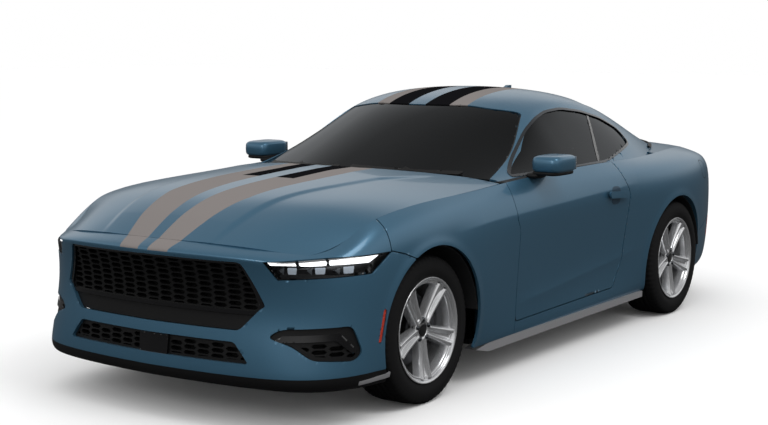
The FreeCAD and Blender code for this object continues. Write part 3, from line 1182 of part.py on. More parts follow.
rear_upright = together("rear_upright", [shaped("upright", upright)])
seat_at(rear_upright, "front_axle_along - wheelbase", "rear_track / 2", "axle_up")
rear_parts = [rear_upright]
for name, sign in (("rear_lower_arm", "-"), ("rear_upper_arm", "+")):
    up = "axle_up %s rear_arm_spread" % sign
    rear_parts.append(block(
        name, (REAR + " - rear_arm_width / 2", "rear_arm_inner_across", up + " - arm_thickness / 2"),
        (REAR + " + rear_arm_width / 2", "rear_track / 2 " + disc_inside + " - rear_arm_end_gap",
         up + " + arm_thickness / 2")))
rear_parts.append(block(
    "differential", (REAR + " - differential_length / 2", "0", "differential_low_up"),
    (REAR + " + differential_length / 2", "differential_half_width", "differential_top_up")))
rear_parts.append(block("rear_cross_member", (REAR + " - rear_cross_length / 2", "0", "rear_cross_low_up"),
                        (REAR + " + rear_cross_length / 2", "rear_post_outer_across", "rear_cross_top_up")))
rear_parts.append(block(
    "rear_post", (REAR + " - rear_post_length / 2", "rear_post_inner_across", "rear_cross_low_up"),
    (REAR + " + rear_post_length / 2", "rear_post_outer_across", "rear_post_top_up")))
rear_parts.append(rod("drive_shaft", "shaft_radius", "engine_rear_along - seat_gap - (%s)" % REAR,
                      (REAR, "0", "shaft_up"), "X"))
half_rear_frame = fused("rear_frame_half", rear_parts)
piece(fused("rear_suspension", [half_rear_frame, mirror_of(half_rear_frame, "rear_frame_other_half")]))

# The floor tub with its tunnel, firewall, boot floor, rails and strut towers
firewall_back = "firewall_along + wall_thickness"
heel_front = "cabin_rear_along + heel_wall"
tub_parts = [
    block("cabin_floor", ("cabin_rear_along", "0", "floor_up"),
          (firewall_back, "sill_inner_across - seat_gap", "cabin_floor_up")),
    block("tunnel", ("cabin_rear_along", "0", "floor_up"),
          (firewall_back, "tunnel_width / 2", "tunnel_top_up")),
    block("firewall", ("firewall_along", "0", "floor_up"),
          (firewall_back, "firewall_half_width", "firewall_side_up")),
    block("firewall_top", ("firewall_along", "0", "floor_up"),
          (firewall_back, "cowl_half_width", "firewall_top_up")),
    block("heel_board", ("cabin_rear_along", "0", "floor_up"),
          (heel_front, "firewall_half_width", "heel_top_up")),
    block("boot_floor", ("boot_rear_along", "0", "boot_floor_up"),
          ("boot_front_along", "boot_half_width", "boot_floor_up + panel_wall")),
    block("heel_shelf", ("seat_wall_along", "0", "tunnel_top_up"),
          (heel_front, "heel_shelf_half_width", "heel_shelf_top_up")),
    block("boot_riser", ("seat_wall_along", "0", "tunnel_top_up"),
          ("boot_front_along", "boot_half_width", "boot_floor_up + panel_wall")),
    block("parcel_shelf", ("shelf_rear_along", "0", "shelf_low_up"),
          ("boot_front_along", "boot_half_width", "shelf_top_up")),
    block("seat_wall", ("seat_wall_along", "0", "boot_floor_up"),
          ("boot_front_along", "boot_half_width", "shelf_top_up")),
    block("tail_wall", ("boot_rear_along", "0", "tail_wall_low_up"),
          ("boot_rear_along + panel_wall", "boot_half_width", "tail_wall_top_up")),
    block("boot_side", ("boot_rear_along", "boot_half_width - panel_wall", "boot_floor_up"),
          ("boot_front_along", "boot_half_width", "shelf_top_up")),
    block("hood_hinge_bar", ("firewall_along", "hood_bar_inner_across", "hood_bar_low_up"),
          ("firewall_along + hood_bar_length", "hood_bar_outer_across", "hood_bar_top_up")),
    block("rail", ("firewall_along", "rail_inner_across", "rail_low_up"),
          ("rail_front_along", "rail_outer_across", "rail_top_up")),
    block("engine_mount", ("mount_rear_along", "engine_half_width + seat_gap", "mount_low_up"),
          ("mount_front_along", "rail_inner_across", "mount_top_up")),
    block("strut_tower",
          ("front_axle_along - strut_tower_length / 2", "rail_inner_across", "strut_tower_low_up"),
          ("front_axle_along + strut_tower_length / 2", "rail_outer_across", "strut_tower_top_up")),
    block("strut_top",
          ("front_axle_along - strut_tower_length / 2", "rail_inner_across",
           "coil_over_low_up + coil_over_length + seat_gap"),
          ("front_axle_along + strut_tower_length / 2", "strut_top_outer_across", "strut_tower_top_up")),
    block("nose_wall", ("rail_front_along - panel_wall", "0", "nose_wall_low_up"),
          ("rail_front_along", "nose_wall_half_width", "nose_wall_top_up")),
    shaped("hood_bracket", hood_bracket), shaped("lid_bracket", lid_bracket), shaped("lid_bar", lid_bar),
]
tunnel_hollow = block("tunnel_hollow", ("tunnel_hollow_rear_along", "-overrun", "tunnel_hollow_low_up"),
                      ("tunnel_hollow_front_along", "tunnel_hollow_half_width", "tunnel_hollow_top_up"))
half_tub = cut_from("tub_half", fused("tub_solid", tub_parts), tunnel_hollow)
piece(fused("floor_tub", [half_tub, mirror_of(half_tub, "tub_other_half")]))

# The engine, as one plain block on its two mounts
piece(block("engine", ("engine_rear_along", "-engine_half_width", "engine_low_up"),
            ("engine_front_along", "engine_half_width", "engine_top_up")))

# The exhaust: a pipe through named stations, and a silencer
STATIONS = ("start", "tunnel_end", "before_axle", "after_axle", "before_silencer", "after_silencer", "tip")


def pipe(radius):
    """Straight legs between the stations, with a ball at each bend."""
    points = [V(mm("pipe_%s_along" % s), mm("pipe_%s_across" % s), mm("pipe_%s_up" % s)) for s in STATIONS]
    legs = []
    for start, end in zip(points, points[1:]):
        run = end - start
        legs.append(Part.makeCylinder(radius, run.Length, start, run))
        legs.append(Part.makeSphere(radius, end))
    return legs[0].fuse(legs[1:])


silencer = box((mm("silencer_rear_along"), mm("silencer_inner_across"), mm("silencer_low_up")),
               (mm("silencer_front_along"), mm("silencer_outer_across"), mm("silencer_top_up")))
half_exhaust = shaped("exhaust_left", pipe(mm("pipe_radius")).fuse(silencer))
piece(together("exhaust", [half_exhaust, mirror_of(half_exhaust, "exhaust_right")]))

# Wheel arch liners
def liner(name, along, arch_radius, low):
    """The upper part of a thin tube just inside an arch."""
    span = "liner_outer_across - " + low
    outer = rod(name + "_outside", arch_radius + " - seat_gap", span, (along, low, "axle_up"), "Y")
    inner = rod(name + "_inside", arch_radius + " - liner_depth", span, (along, low, "axle_up"), "Y")
    under = block(name + "_under", (along + " - liner_cut_reach", "0", "-liner_cut_reach"),
                  (along + " + liner_cut_reach", "body_width", "axle_up + liner_rise"))
    return cut_from(name, outer, fused(name + "_room", [inner, under]))


liners = [liner("front_liner", "front_axle_along", "front_arch_radius", "front_liner_inner_across"),
          liner("rear_liner", REAR, "rear_arch_radius", "rear_liner_inner_across")]
piece(together("wheel_liners", liners + [mirror_of(one, one.Name + "_right") for one in liners]))

# Skirts, mirrors, fin, wipers and cowl
skirt_top_up = "sill_low_up - seat_gap"
skirt = extruded_body("skirt_left", [
    ("skirt_rear_along", skirt_top_up), ("skirt_rear_along", "skirt_rear_low_up"),
    ("skirt_front_along", "skirt_front_low_up"), ("skirt_point_along", "skirt_point_up"),
    ("skirt_front_along", skirt_top_up)],
    "skirt_inner_across", "skirt_outer_across")
piece(together("side_skirts", [skirt, mirror_of(skirt, "skirt_right")]))


MIRROR_SECTION_SHARES = [
    (-0.9, -0.75), (-1, 0), (-0.9, 0.8), (-0.2, 1), (0.6, 0.7), (1, 0.05), (0.6, -0.65), (-0.2, -0.95)]


def mirror_section(across, along, up, half_length, half_height):
    """A closed rounded section, flat behind where the mirror glass sits."""
    curve = Part.BSplineCurve()
    points = [V(along + x * half_length, across, up + z * half_height) for x, z in MIRROR_SECTION_SHARES]
    curve.interpolate(points, True)
    return Part.Wire(curve.toShape())


MIRROR_STATIONS = 6
STATION_FACTS = ("across", "along", "up", "half_length", "half_height")
stations = [[mm("mirror_%s_%d" % (fact, number)) for fact in STATION_FACTS] for number in range(1, MIRROR_STATIONS + 1)]
cap = Part.makeLoft([mirror_section(*station) for station in stations], True)
glass_recess = box(
    (mm("mirror_glass_rear_along"), mm("mirror_glass_inner_across"), mm("mirror_glass_low_up")),
    (mm("mirror_glass_along"), mm("mirror_glass_outer_across"), mm("mirror_glass_top_up")))
stalk_top = mm("stalk_top_up")
stalk = prism([(mm("stalk_rear_along"), mm("stalk_low_up")), (mm("stalk_front_along"), mm("stalk_front_up")),
               (mm("stalk_top_front_along"), stalk_top), (mm("stalk_top_rear_along"), stalk_top)],
              "Y", mm("stalk_inner_across"), mm("stalk_outer_across"))
mirror_left = shaped("mirror_left", largest(cap.fuse(stalk).cut([door_left, door_glass, glass_recess])))
piece(mirror_left)
piece(mirror_of(mirror_left))
fin = prism([(mm("fin_front_along"), mm("fin_low_up")), (mm("fin_rear_along"), mm("fin_low_up")),
             (mm("fin_rear_along"), mm("fin_top_up")), (mm("fin_top_along"), mm("fin_top_up"))],
            "Y", -mm("fin_thickness") / 2, mm("fin_thickness") / 2)
piece(shaped("antenna_fin", fin.cut(cabin_thick)))
piece(block("cowl_panel", ("cowl_rear_along", "-cowl_half_width", "firewall_top_up + seat_gap"),
            ("cowl_front_along", "cowl_half_width", "cowl_top_up")))
blades = [block(name, ("wiper_rear_along", start, "cowl_top_up + seat_gap"),
                ("wiper_front_along", start + " + wiper_length", "wiper_top_up"))
          for name, start in (("wiper_left", "wiper_inner_across"),
                              ("wiper_right", "wiper_inner_across - wiper_pitch"))]
piece(together("wipers", blades))

# Inside: dashboard, steering and seats
dash = extruded_body("dashboard", [
    ("firewall_along - seat_gap", "dash_low_up"), ("firewall_along - seat_gap", "dash_top_up"),
    ("dash_top_along", "dash_crest_up"), ("dash_face_along", "dash_face_up"),
    ("dash_rear_along", "dash_knee_up"), ("dash_foot_along", "dash_low_up")],
    "-dash_half_width", "dash_half_width")
piece(dash)
STEERING_MIDDLE = ("steering_along", "steering_across", "steering_up")
COLUMN_REACH = (" + (steering_hub_length + seat_gap) * cos(steering_lean)", "",
                " - (steering_hub_length + seat_gap) * sin(steering_lean)")
BAR_SHIFT = (" - bar_thickness / 2 * cos(steering_lean) - bar_height / 2 * sin(steering_lean)",
             " - bar_length / 2",
             " + bar_thickness / 2 * sin(steering_lean) - bar_height / 2 * cos(steering_lean)")
tip_over = FreeCAD.Rotation(V(0, 1, 0), mm("steering_lean") + QUARTER_TURN)
seam_down = FreeCAD.Rotation(V(0, 0, 1), FULL_TURN / 2)
wheel_ring = doc.addObject("Part::Torus", "wheel_ring")
wheel_hub = doc.addObject("Part::Cylinder", "wheel_hub")
column_rod = doc.addObject("Part::Cylinder", "column_rod")
for feature, rules in ((wheel_ring, dict(Radius1="steering_radius", Radius2="steering_grip_radius")),
                       (wheel_hub, dict(Radius="steering_hub_radius", Height="steering_hub_length")),
                       (column_rod, dict(Radius="column_radius", Height="column_length"))):
    for prop, rule in rules.items():
        feature.setExpression(prop, sized(rule))
    feature.Placement = FreeCAD.Placement(V(0, 0, 0), tip_over)
column_rod.Placement = FreeCAD.Placement(V(0, 0, 0), tip_over.multiply(seam_down))
seat_at(wheel_ring, *STEERING_MIDDLE)
seat_at(wheel_hub, *STEERING_MIDDLE)
seat_at(column_rod, *[rule + reach for rule, reach in zip(STEERING_MIDDLE, COLUMN_REACH)])
spokes = doc.addObject("Part::Box", "wheel_spokes")
for prop, rule in (("Length", "bar_thickness"), ("Width", "bar_length"), ("Height", "bar_height")):
    spokes.setExpression(prop, sized(rule))
spokes.Placement = FreeCAD.Placement(V(0, 0, 0), FreeCAD.Rotation(V(0, 1, 0), mm("steering_lean")))
seat_at(spokes, *[rule + shift for rule, shift in zip(STEERING_MIDDLE, BAR_SHIFT)])
piece(fused("steering_wheel", [wheel_ring, wheel_hub, spokes]))
piece(cut_from("steering_column", column_rod, dash))

cushion = block("cushion", ("cushion_rear_along", "cushion_inner_across", "cushion_low_up"),
                ("cushion_front_along", "cushion_outer_across", "cushion_top_up"))
slide = block("seat_slide", ("slide_rear_along", "slide_inner_across", "cabin_floor_up + seat_gap"),
              ("slide_front_along", "slide_outer_across", "cushion_low_up"))
backrest = extruded_body("backrest", [
    ("back_foot_rear_along", "cushion_top_up"), ("back_foot_front_along", "cushion_top_up"),
    ("back_top_front_along", "back_top_up"), ("back_top_rear_along", "back_top_up")],
    "back_inner_across", "back_outer_across")
headrest = extruded_body("headrest", [
    ("head_foot_front_along", "back_top_up"), ("head_foot_rear_along", "back_top_up"),
    ("head_top_rear_along", "head_top_up"), ("head_top_front_along", "head_top_up")],
    "head_inner_across", "head_outer_across")
seat_left = fused("seat_left", [cushion, backrest, headrest, slide])
piece(together("front_seats", [seat_left, mirror_of(seat_left, "seat_right")]))
bench_base = block("bench_base",
                   ("boot_front_along + seat_gap", "bench_inner_across", "heel_shelf_top_up + seat_gap"),
                   ("bench_front_along", "boot_half_width", "bench_top_up"))
bench_back = extruded_body("bench_back", [
    ("boot_front_along + seat_gap", "bench_top_up"), ("bench_back_foot_along", "bench_top_up"),
    ("bench_back_top_along", "bench_back_top_up"), ("boot_front_along + seat_gap", "bench_back_top_up")],
    "bench_inner_across", "boot_half_width")
bench_left = fused("bench_left", [bench_base, bench_back])
piece(together("rear_seat", [bench_left, mirror_of(bench_left, "bench_right")]))

doc.recompute()
faults = [feature.Name for feature in doc.Objects
          if "Invalid" in feature.State or "Error" in feature.State
          or (hasattr(feature, "Shape") and not sound(feature))]
if faults:
    raise RuntimeError("not sound: " + ", ".join(faults))
os.makedirs("parts", exist_ok=True)
for feature in PIECES:
    feature.Shape.exportStep("parts/%s.step" % feature.Name)
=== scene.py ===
import math
import bpy
import numpy as np
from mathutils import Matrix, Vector


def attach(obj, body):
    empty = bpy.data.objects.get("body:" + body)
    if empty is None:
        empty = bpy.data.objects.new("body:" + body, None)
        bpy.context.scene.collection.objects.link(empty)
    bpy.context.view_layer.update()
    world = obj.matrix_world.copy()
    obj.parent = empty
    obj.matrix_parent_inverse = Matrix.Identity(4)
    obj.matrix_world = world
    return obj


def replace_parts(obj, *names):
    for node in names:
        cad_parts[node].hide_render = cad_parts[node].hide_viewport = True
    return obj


bl_info = {
    "name": "Muscle car looks",
    "version": (1, 0, 0),
    "blender": (4, 5, 0),
    "location": "View3D > Sidebar > Car",
    "description": "Skin, glass, wheels, lamps and cabin trim of a muscle car round its packed parts",
    "category": "Object",
}

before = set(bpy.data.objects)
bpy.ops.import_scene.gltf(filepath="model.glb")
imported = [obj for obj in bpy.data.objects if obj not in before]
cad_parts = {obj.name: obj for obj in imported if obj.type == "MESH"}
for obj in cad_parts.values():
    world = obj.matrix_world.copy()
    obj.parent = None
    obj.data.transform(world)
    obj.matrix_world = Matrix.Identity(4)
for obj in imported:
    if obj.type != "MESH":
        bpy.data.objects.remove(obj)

# Half length, half width and height in metres, for a thousandth each
SCALE = np.array([2.4055, 0.9575, 1.397]) / 1000
MIRROR = np.array([1, -1, 1])
SIDES = ("left", "right")
# Places of the axles along the car, their height, and the radii of the arches
FRONT_AXLE = 1.475
REAR_AXLE = -1.245
AXLE_UP = 0.345
FRONT_ARCH = 0.398
REAR_ARCH = 0.386
# How far the skin swells round an arch, over what width, and from how far inside the arch
LIP_RISE = 0.005
LIP_WIDTH = 0.030
LIP_START = -0.02
# Height and width of the step beside the hood's raised middle, and where it fades out at either end
CREASE_RISE = 0.009
CREASE_WIDTH = 0.035
CREASE_FRONT, CREASE_FRONT_FADE = 2.33, 0.15
CREASE_REAR, CREASE_REAR_FADE = 0.9, 0.3
# Half width of the hood's raised middle, by place along the car
CREASE = [(0.85, 0.62), (1.25, 0.46), (1.56, 0.43), (1.80, 0.395), (2.0, 0.375), (2.15, 0.355),
          (2.3, 0.33)]

# Poles of the body side from nose to tail, ten feature lines each: along, across, up. A single number
# holds for all ten
SIDE_SHARES = [
    ([968, 988, 988, 983, 974, 978, 993, 1000, 990, 968], 0,
     [132, 140, 195, 290, 370, 455, 528, 544, 556, 572]),
    ([964, 984, 984, 979, 970, 974, 989, 996, 986, 963], 300,
     [132, 140, 195, 290, 370, 455, 528, 544, 556, 573]),
    ([948, 968, 970, 963, 955, 958, 970, 975, 965, 940], 590,
     [131, 139, 195, 290, 370, 455, 525, 541, 551, 562]),
    ([924, 946, 942, 930, 922, 924, 930, 930, 921, 903], [770, 775, 768, 758, 750, 750, 755, 758, 755, 750],
     [129, 137, 195, 290, 370, 452, 510, 522, 532, 541]),
    ([878, 902, 898, 888, 882, 880, 879, 876, 865, 850], [870, 890, 885, 878, 870, 868, 864, 858, 845, 820],
     [127, 136, 195, 290, 370, 450, 504, 520, 534, 552]),
    ([810, 835, 835, 830, 828, 828, 825, 818, 806, 790], [935, 955, 956, 952, 948, 945, 938, 922, 900, 860],
     [127, 136, 195, 290, 370, 450, 515, 556, 588, 616]),
    (745, [942, 962, 975, 980, 982, 980, 974, 960, 930, 885],
     [127, 136, 195, 290, 375, 460, 530, 585, 625, 645]),
    (613, [940, 955, 972, 984, 992, 998, 996, 974, 940, 900],
     [127, 136, 195, 290, 380, 475, 545, 610, 650, 670]),
    (437, [935, 950, 968, 982, 990, 990, 980, 956, 930, 905],
     [127, 136, 195, 290, 390, 500, 555, 620, 655, 675]),
    (300, [928, 943, 945, 950, 962, 974, 973, 950, 928, 900],
     [127, 136, 195, 290, 400, 520, 570, 628, 662, 690]),
    (42, [922, 938, 932, 930, 945, 965, 966, 945, 925, 900],
     [130, 138, 195, 290, 400, 530, 575, 630, 668, 703]),
    (-187, [918, 936, 930, 928, 945, 966, 968, 950, 930, 895],
     [133, 141, 195, 290, 400, 535, 580, 635, 670, 705]),
    (-340, [918, 936, 945, 960, 972, 986, 985, 965, 935, 870],
     [136, 145, 195, 290, 400, 530, 580, 640, 675, 697]),
    (-518, [915, 934, 962, 986, 1000, 1008, 1002, 975, 915, 815],
     [140, 150, 200, 300, 410, 520, 585, 650, 682, 700]),
    (-670, [905, 925, 950, 968, 984, 988, 978, 945, 885, 760],
     [150, 160, 210, 310, 420, 530, 595, 650, 686, 704]),
    (-790, [862, 880, 895, 908, 917, 920, 912, 888, 838, 695],
     [165, 175, 225, 320, 425, 535, 600, 648, 676, 698]),
    ([-855, -868, -878, -882, -884, -881, -875, -868, -860, -848],
     [785, 800, 810, 818, 822, 820, 814, 798, 762, 635],
     [180, 190, 235, 325, 430, 535, 596, 640, 666, 690]),
    ([-918, -932, -942, -948, -948, -941, -933, -927, -922, -912],
     [655, 667, 680, 690, 694, 692, 684, 669, 644, 555],
     [190, 200, 240, 330, 430, 535, 598, 638, 661, 682]),
    ([-955, -973, -983, -989, -987, -978, -968, -964, -964, -958], 350,
     [195, 205, 245, 335, 430, 540, 605, 645, 672, 690]),
    ([-961, -979, -990, -997, -995, -985, -975, -971, -972, -966], 0,
     [195, 205, 245, 335, 430, 540, 605, 648, 680, 697]),
]
# Poles of the hood's left half from its front edge to the cowl, shutline to middle
HOOD_SHARES = [
    [(903, 750, 541), (930, 620, 558), (950, 520, 568), (963, 280, 573), (968, 0, 572)],
    [(850, 820, 552), (880, 680, 592), (908, 520, 609), (925, 270, 613), (930, 0, 611)],
    [(790, 860, 616), (818, 700, 645), (842, 530, 658), (865, 265, 664), (868, 0, 662)],
    [(745, 885, 645), (755, 720, 672), (775, 520, 688), (790, 260, 694), (792, 0, 694)],
    [(613, 900, 670), (622, 740, 692), (640, 510, 706), (650, 250, 716), (650, 0, 718)],
    [(437, 905, 675), (450, 745, 700), (470, 500, 716), (480, 240, 728), (480, 0, 731)],
    [(300, 900, 690), (340, 740, 708), (385, 500, 722), (400, 230, 737), (402, 0, 740)],
]
# Poles of the cabin's left half from the windscreen's foot to the rear window's foot, from the middle
# to the waist
CABIN_SHARES = [
    [(395, 0, 712), (388, 260, 712), (350, 520, 708), (300, 740, 700),
     (283, 800, 694), (285, 840, 690), (290, 872, 677), (290, 899, 664)],
    [(330, 0, 765), (322, 250, 763), (290, 500, 755), (245, 700, 738),
     (225, 755, 726), (220, 790, 715), (225, 842, 692), (235, 889, 669)],
    [(200, 0, 865), (195, 240, 862), (170, 470, 850), (130, 650, 820),
     (108, 700, 800), (100, 735, 780), (105, 812, 727), (120, 887, 679)],
    [(75, 0, 952), (72, 230, 948), (55, 450, 935), (30, 610, 905),
     (15, 655, 885), (8, 690, 855), (5, 782, 772), (10, 886, 684)],
    [(0, 0, 982), (0, 225, 978), (-5, 440, 964), (-25, 590, 935),
     (-40, 632, 912), (-48, 670, 880), (-50, 772, 782), (-50, 887, 687)],
    [(-90, 0, 1001), (-90, 220, 997), (-92, 435, 983), (-100, 580, 956),
     (-108, 622, 930), (-112, 662, 895), (-112, 767, 787), (-112, 887, 689)],
    [(-190, 0, 1003), (-190, 215, 999), (-190, 430, 985), (-195, 575, 955),
     (-200, 618, 930), (-202, 660, 893), (-202, 767, 787), (-202, 884, 689)],
    [(-310, 0, 980), (-310, 215, 976), (-310, 425, 962), (-312, 565, 930),
     (-315, 610, 903), (-315, 655, 868), (-315, 757, 782), (-315, 869, 689)],
    [(-420, 0, 940), (-420, 210, 936), (-420, 415, 920), (-420, 550, 888),
     (-420, 595, 862), (-420, 645, 832), (-420, 737, 767), (-425, 829, 689)],
    [(-540, 0, 877), (-540, 205, 872), (-540, 400, 858), (-538, 525, 828),
     (-536, 570, 808), (-534, 620, 785), (-530, 692, 742), (-530, 764, 689)],
    [(-640, 0, 812), (-640, 200, 808), (-640, 385, 795), (-638, 500, 772),
     (-635, 545, 758), (-632, 590, 742), (-625, 647, 714), (-620, 694, 684)],
    [(-730, 0, 752), (-730, 195, 749), (-728, 370, 740), (-724, 475, 726),
     (-720, 520, 718), (-716, 560, 710), (-705, 602, 692), (-695, 634, 674)],
    [(-790, 0, 722), (-790, 190, 720), (-788, 360, 713), (-782, 455, 704),
     (-776, 500, 698), (-770, 535, 692), (-760, 562, 677), (-745, 584, 662)],
]
# Poles of the deck's left half from the rear window to the tail, haunch to middle
DECK_SHARES = [
    [(-518, 815, 700), (-600, 600, 700), (-700, 440, 704), (-735, 220, 712), (-740, 0, 714)],
    [(-670, 760, 704), (-740, 590, 704), (-785, 430, 708), (-800, 215, 712), (-802, 0, 714)],
    [(-790, 695, 698), (-830, 570, 698), (-852, 420, 702), (-865, 210, 706), (-868, 0, 708)],
    [(-848, 635, 690), (-885, 530, 690), (-910, 400, 694), (-925, 205, 698), (-930, 0, 702)],
    [(-912, 555, 682), (-935, 480, 682), (-952, 350, 690), (-964, 175, 694), (-966, 0, 697)],
]


# Keeps a division or the last knot's span defined
TINY = 1e-12


def basis(count, at, degree=3):
    """Clamped uniform B-spline basis, degree by degree from steps.

    N_i,d = (t - k_i) / (k_i+d - k_i) N_i,d-1 + (k_i+d+1 - t) / (k_i+d+1 - k_i+1) N_i+1,d-1
    """
    degree = min(degree, count - 1)
    knots = np.concatenate([np.zeros(degree), np.linspace(0, 1, count - degree + 1), np.ones(degree)])
    at = np.clip(at, 0, 1 - TINY)
    rows = [((knots[i] <= at) & (at < knots[i + 1])).astype(float) for i in range(len(knots) - 1)]
    for step in range(1, degree + 1):
        raised = []
        for i in range(len(knots) - 1 - step):
            total = np.zeros(len(at))
            if knots[i + step] > knots[i]:
                total += (at - knots[i]) / (knots[i + step] - knots[i]) * rows[i]
            if knots[i + step + 1] > knots[i + 1]:
                total += (knots[i + step + 1] - at) / (knots[i + step + 1] - knots[i + 1]) * rows[i + 1]
            raised.append(total)
        rows = raised
    return np.array(rows).T


def spline(net):
    """The surface S(u, v) = sum over i, j of N_i(u) N_j(v) P_ij for a net of poles."""
    net = np.asarray(net, float)

    def surface(u, v):
        across = np.einsum("nj,ijk->nik", basis(net.shape[1], v), net)
        return np.einsum("ni,nik->nk", basis(net.shape[0], u), across)
    return surface


def spread(value):
    """Ten values from a list of ten or a single one."""
    return list(value) if isinstance(value, list) else [value] * 10


SIDE = np.array([np.stack([spread(a), spread(b), spread(c)], -1) for a, b, c in SIDE_SHARES]) * SCALE
half_side = spline(SIDE)


# Lines pressed into the side, in side view; then each line's height, width, front and rear end
SHOULDER = [(1.35, 0.775), (0.95, 0.800), (0.30, 0.815), (-0.30, 0.835), (-0.75, 0.850)]
SILL_LINE = [(0.75, 0.345), (0.30, 0.368), (-0.40, 0.425), (-0.62, 0.450), (-0.85, 0.480)]
RIDGES = [(SHOULDER, 0.007, 0.075, 1.30, -0.70), (SILL_LINE, 0.006, 0.050, 0.72, -0.80)]
RIDGE_FADE = 0.25


def ridge(points, line, height, width, front, rear):
    """A pointed ridge h exp(-|z - line(x)| / w), faded in over 250 mm from either end."""
    up = np.interp(points[:, 0], *zip(*line[::-1]))
    fade = (np.clip((front - points[:, 0]) / RIDGE_FADE, 0, 1)
            * np.clip((points[:, 0] - rear) / RIDGE_FADE, 0, 1))
    return height * fade * np.exp(-np.abs(points[:, 2] - up) / width)


def side(u, v):
    """The left half for u from 0 to 1, and its mirror image beyond either end.

    Each arch swells the skin by h e^-(d / w)^2 at a distance d outside it.
    """
    beyond = (u < 0) | (u > 1)
    points = half_side(np.where(u < 0, -u, np.where(u > 1, 2 - u, u)), v)
    for along, radius in ((FRONT_AXLE, FRONT_ARCH), (REAR_AXLE, REAR_ARCH)):
        away = np.hypot(points[:, 0] - along, points[:, 2] - AXLE_UP) - radius
        swell = LIP_RISE * np.exp(-(np.clip(away, 0, 1) / LIP_WIDTH) ** 2)
        points[:, 1] += swell * (away > LIP_START)
    for facts in RIDGES:
        points[:, 1] += ridge(points, *facts)
    points[beyond, 1] *= -1
    return points


def whole(shares, middle_first):
    """A net of both halves from the poles of the left one."""
    half = np.array(shares, float) * SCALE
    if middle_first:
        half = half[:, ::-1]
    return np.concatenate([half, (half[:, ::-1] * MIRROR)[:, 1:]], 1)


flat_hood = spline(whole(HOOD_SHARES, False))


def hood_surface(u, v):
    """The hood with its middle raised by a smooth step h s^2 (3 - 2 s) across each crease."""
    points = flat_hood(u, v)
    inside = np.interp(points[:, 0], *zip(*CREASE)) - np.abs(points[:, 1])
    step = np.clip(inside / CREASE_WIDTH + 0.5, 0, 1)
    fade = (np.clip((CREASE_FRONT - points[:, 0]) / CREASE_FRONT_FADE, 0, 1)
            * np.clip((points[:, 0] - CREASE_REAR) / CREASE_REAR_FADE, 0, 1))
    points[:, 2] += CREASE_RISE * fade * step ** 2 * (3 - 2 * step)
    return points


cabin_surface = spline(whole(CABIN_SHARES, True))
deck_surface = spline(whole(DECK_SHARES, False))


def signed(points, corners):
    """Distance to a closed outline in a plane, positive inside.

    Its size is the distance to the nearest side, and its sign comes from the number of crossings.
    """
    corners = np.asarray(corners, float)
    after = np.roll(corners, -1, 0)
    nearest = np.full(len(points), 1e9)
    inside = np.zeros(len(points), bool)
    for a, b in zip(corners, after):
        run = b - a
        share = np.clip(((points - a) @ run) / max(run @ run, TINY), 0, 1)
        nearest = np.minimum(nearest, np.linalg.norm(points - a - share[:, None] * run, axis=1))
        crosses = (a[1] > points[:, 1]) != (b[1] > points[:, 1])
        rise = run[1] if abs(run[1]) > TINY else TINY
        inside ^= crosses & (points[:, 0] < a[0] + run[0] * (points[:, 1] - a[1]) / rise)
    return np.where(inside, nearest, -nearest)


def rounded(corners, radius, steps=5):
    """The outline with each corner replaced by a parabola (1-t)^2 A + 2t(1-t) C + t^2 B."""
    corners = np.asarray(corners, float)
    made = []
    for before, here, after in zip(np.roll(corners, 1, 0), corners, np.roll(corners, -1, 0)):
        ends = []
        for other in (before, after):
            length = np.linalg.norm(other - here)
            ends.append(here + (other - here) * min(radius / max(length, 1e-9), 0.45))
        for t in np.linspace(0, 1, steps):
            made.append((1 - t) ** 2 * ends[0] + 2 * t * (1 - t) * here + t ** 2 * ends[1])
    return np.array(made)


def side_view(points):
    """Along, up."""
    return points[:, [0, 2]]


def front_view(points):
    """Across, up."""
    return points[:, [1, 2]]


def mirrored_view(points):
    """Distance from the middle, up."""
    return np.stack([np.abs(points[:, 1]), points[:, 2]], 1)


def plan_view(points):
    """Along, across."""
    return points[:, [0, 1]]


CORNER_TURN = math.radians(35)


def corner_view(points):
    """As seen from 35 degrees off straight ahead: |y| cos a - x sin a, up."""
    across = -points[:, 0] * math.sin(CORNER_TURN) + np.abs(points[:, 1]) * math.cos(CORNER_TURN)
    return np.stack([across, points[:, 2]], 1)


def quads_of(index, after=None):
    """The four corners of each cell of a grid of point numbers, or of one that runs on into another."""
    low, high = (index[:-1], index[1:]) if after is None else (index, after)
    return np.stack([low[:, :-1], high[:, :-1], high[:, 1:], low[:, 1:]], -1).reshape(-1, 4)


# Vertices this near to the cut, in cells, step onto it, at most so far, in this many rounds; a value
# this little under 0 still counts as on the cut
NEAR_CUT, STEP_LIMIT, CUT_ROUNDS, ON_CUT = 0.56, 0.7, 4, -0.004
FLATTEST = 1e-10
# The car's long axis, from which normals look away: half length and height
AXIS_HALF, AXIS_UP = 1.7, 0.45


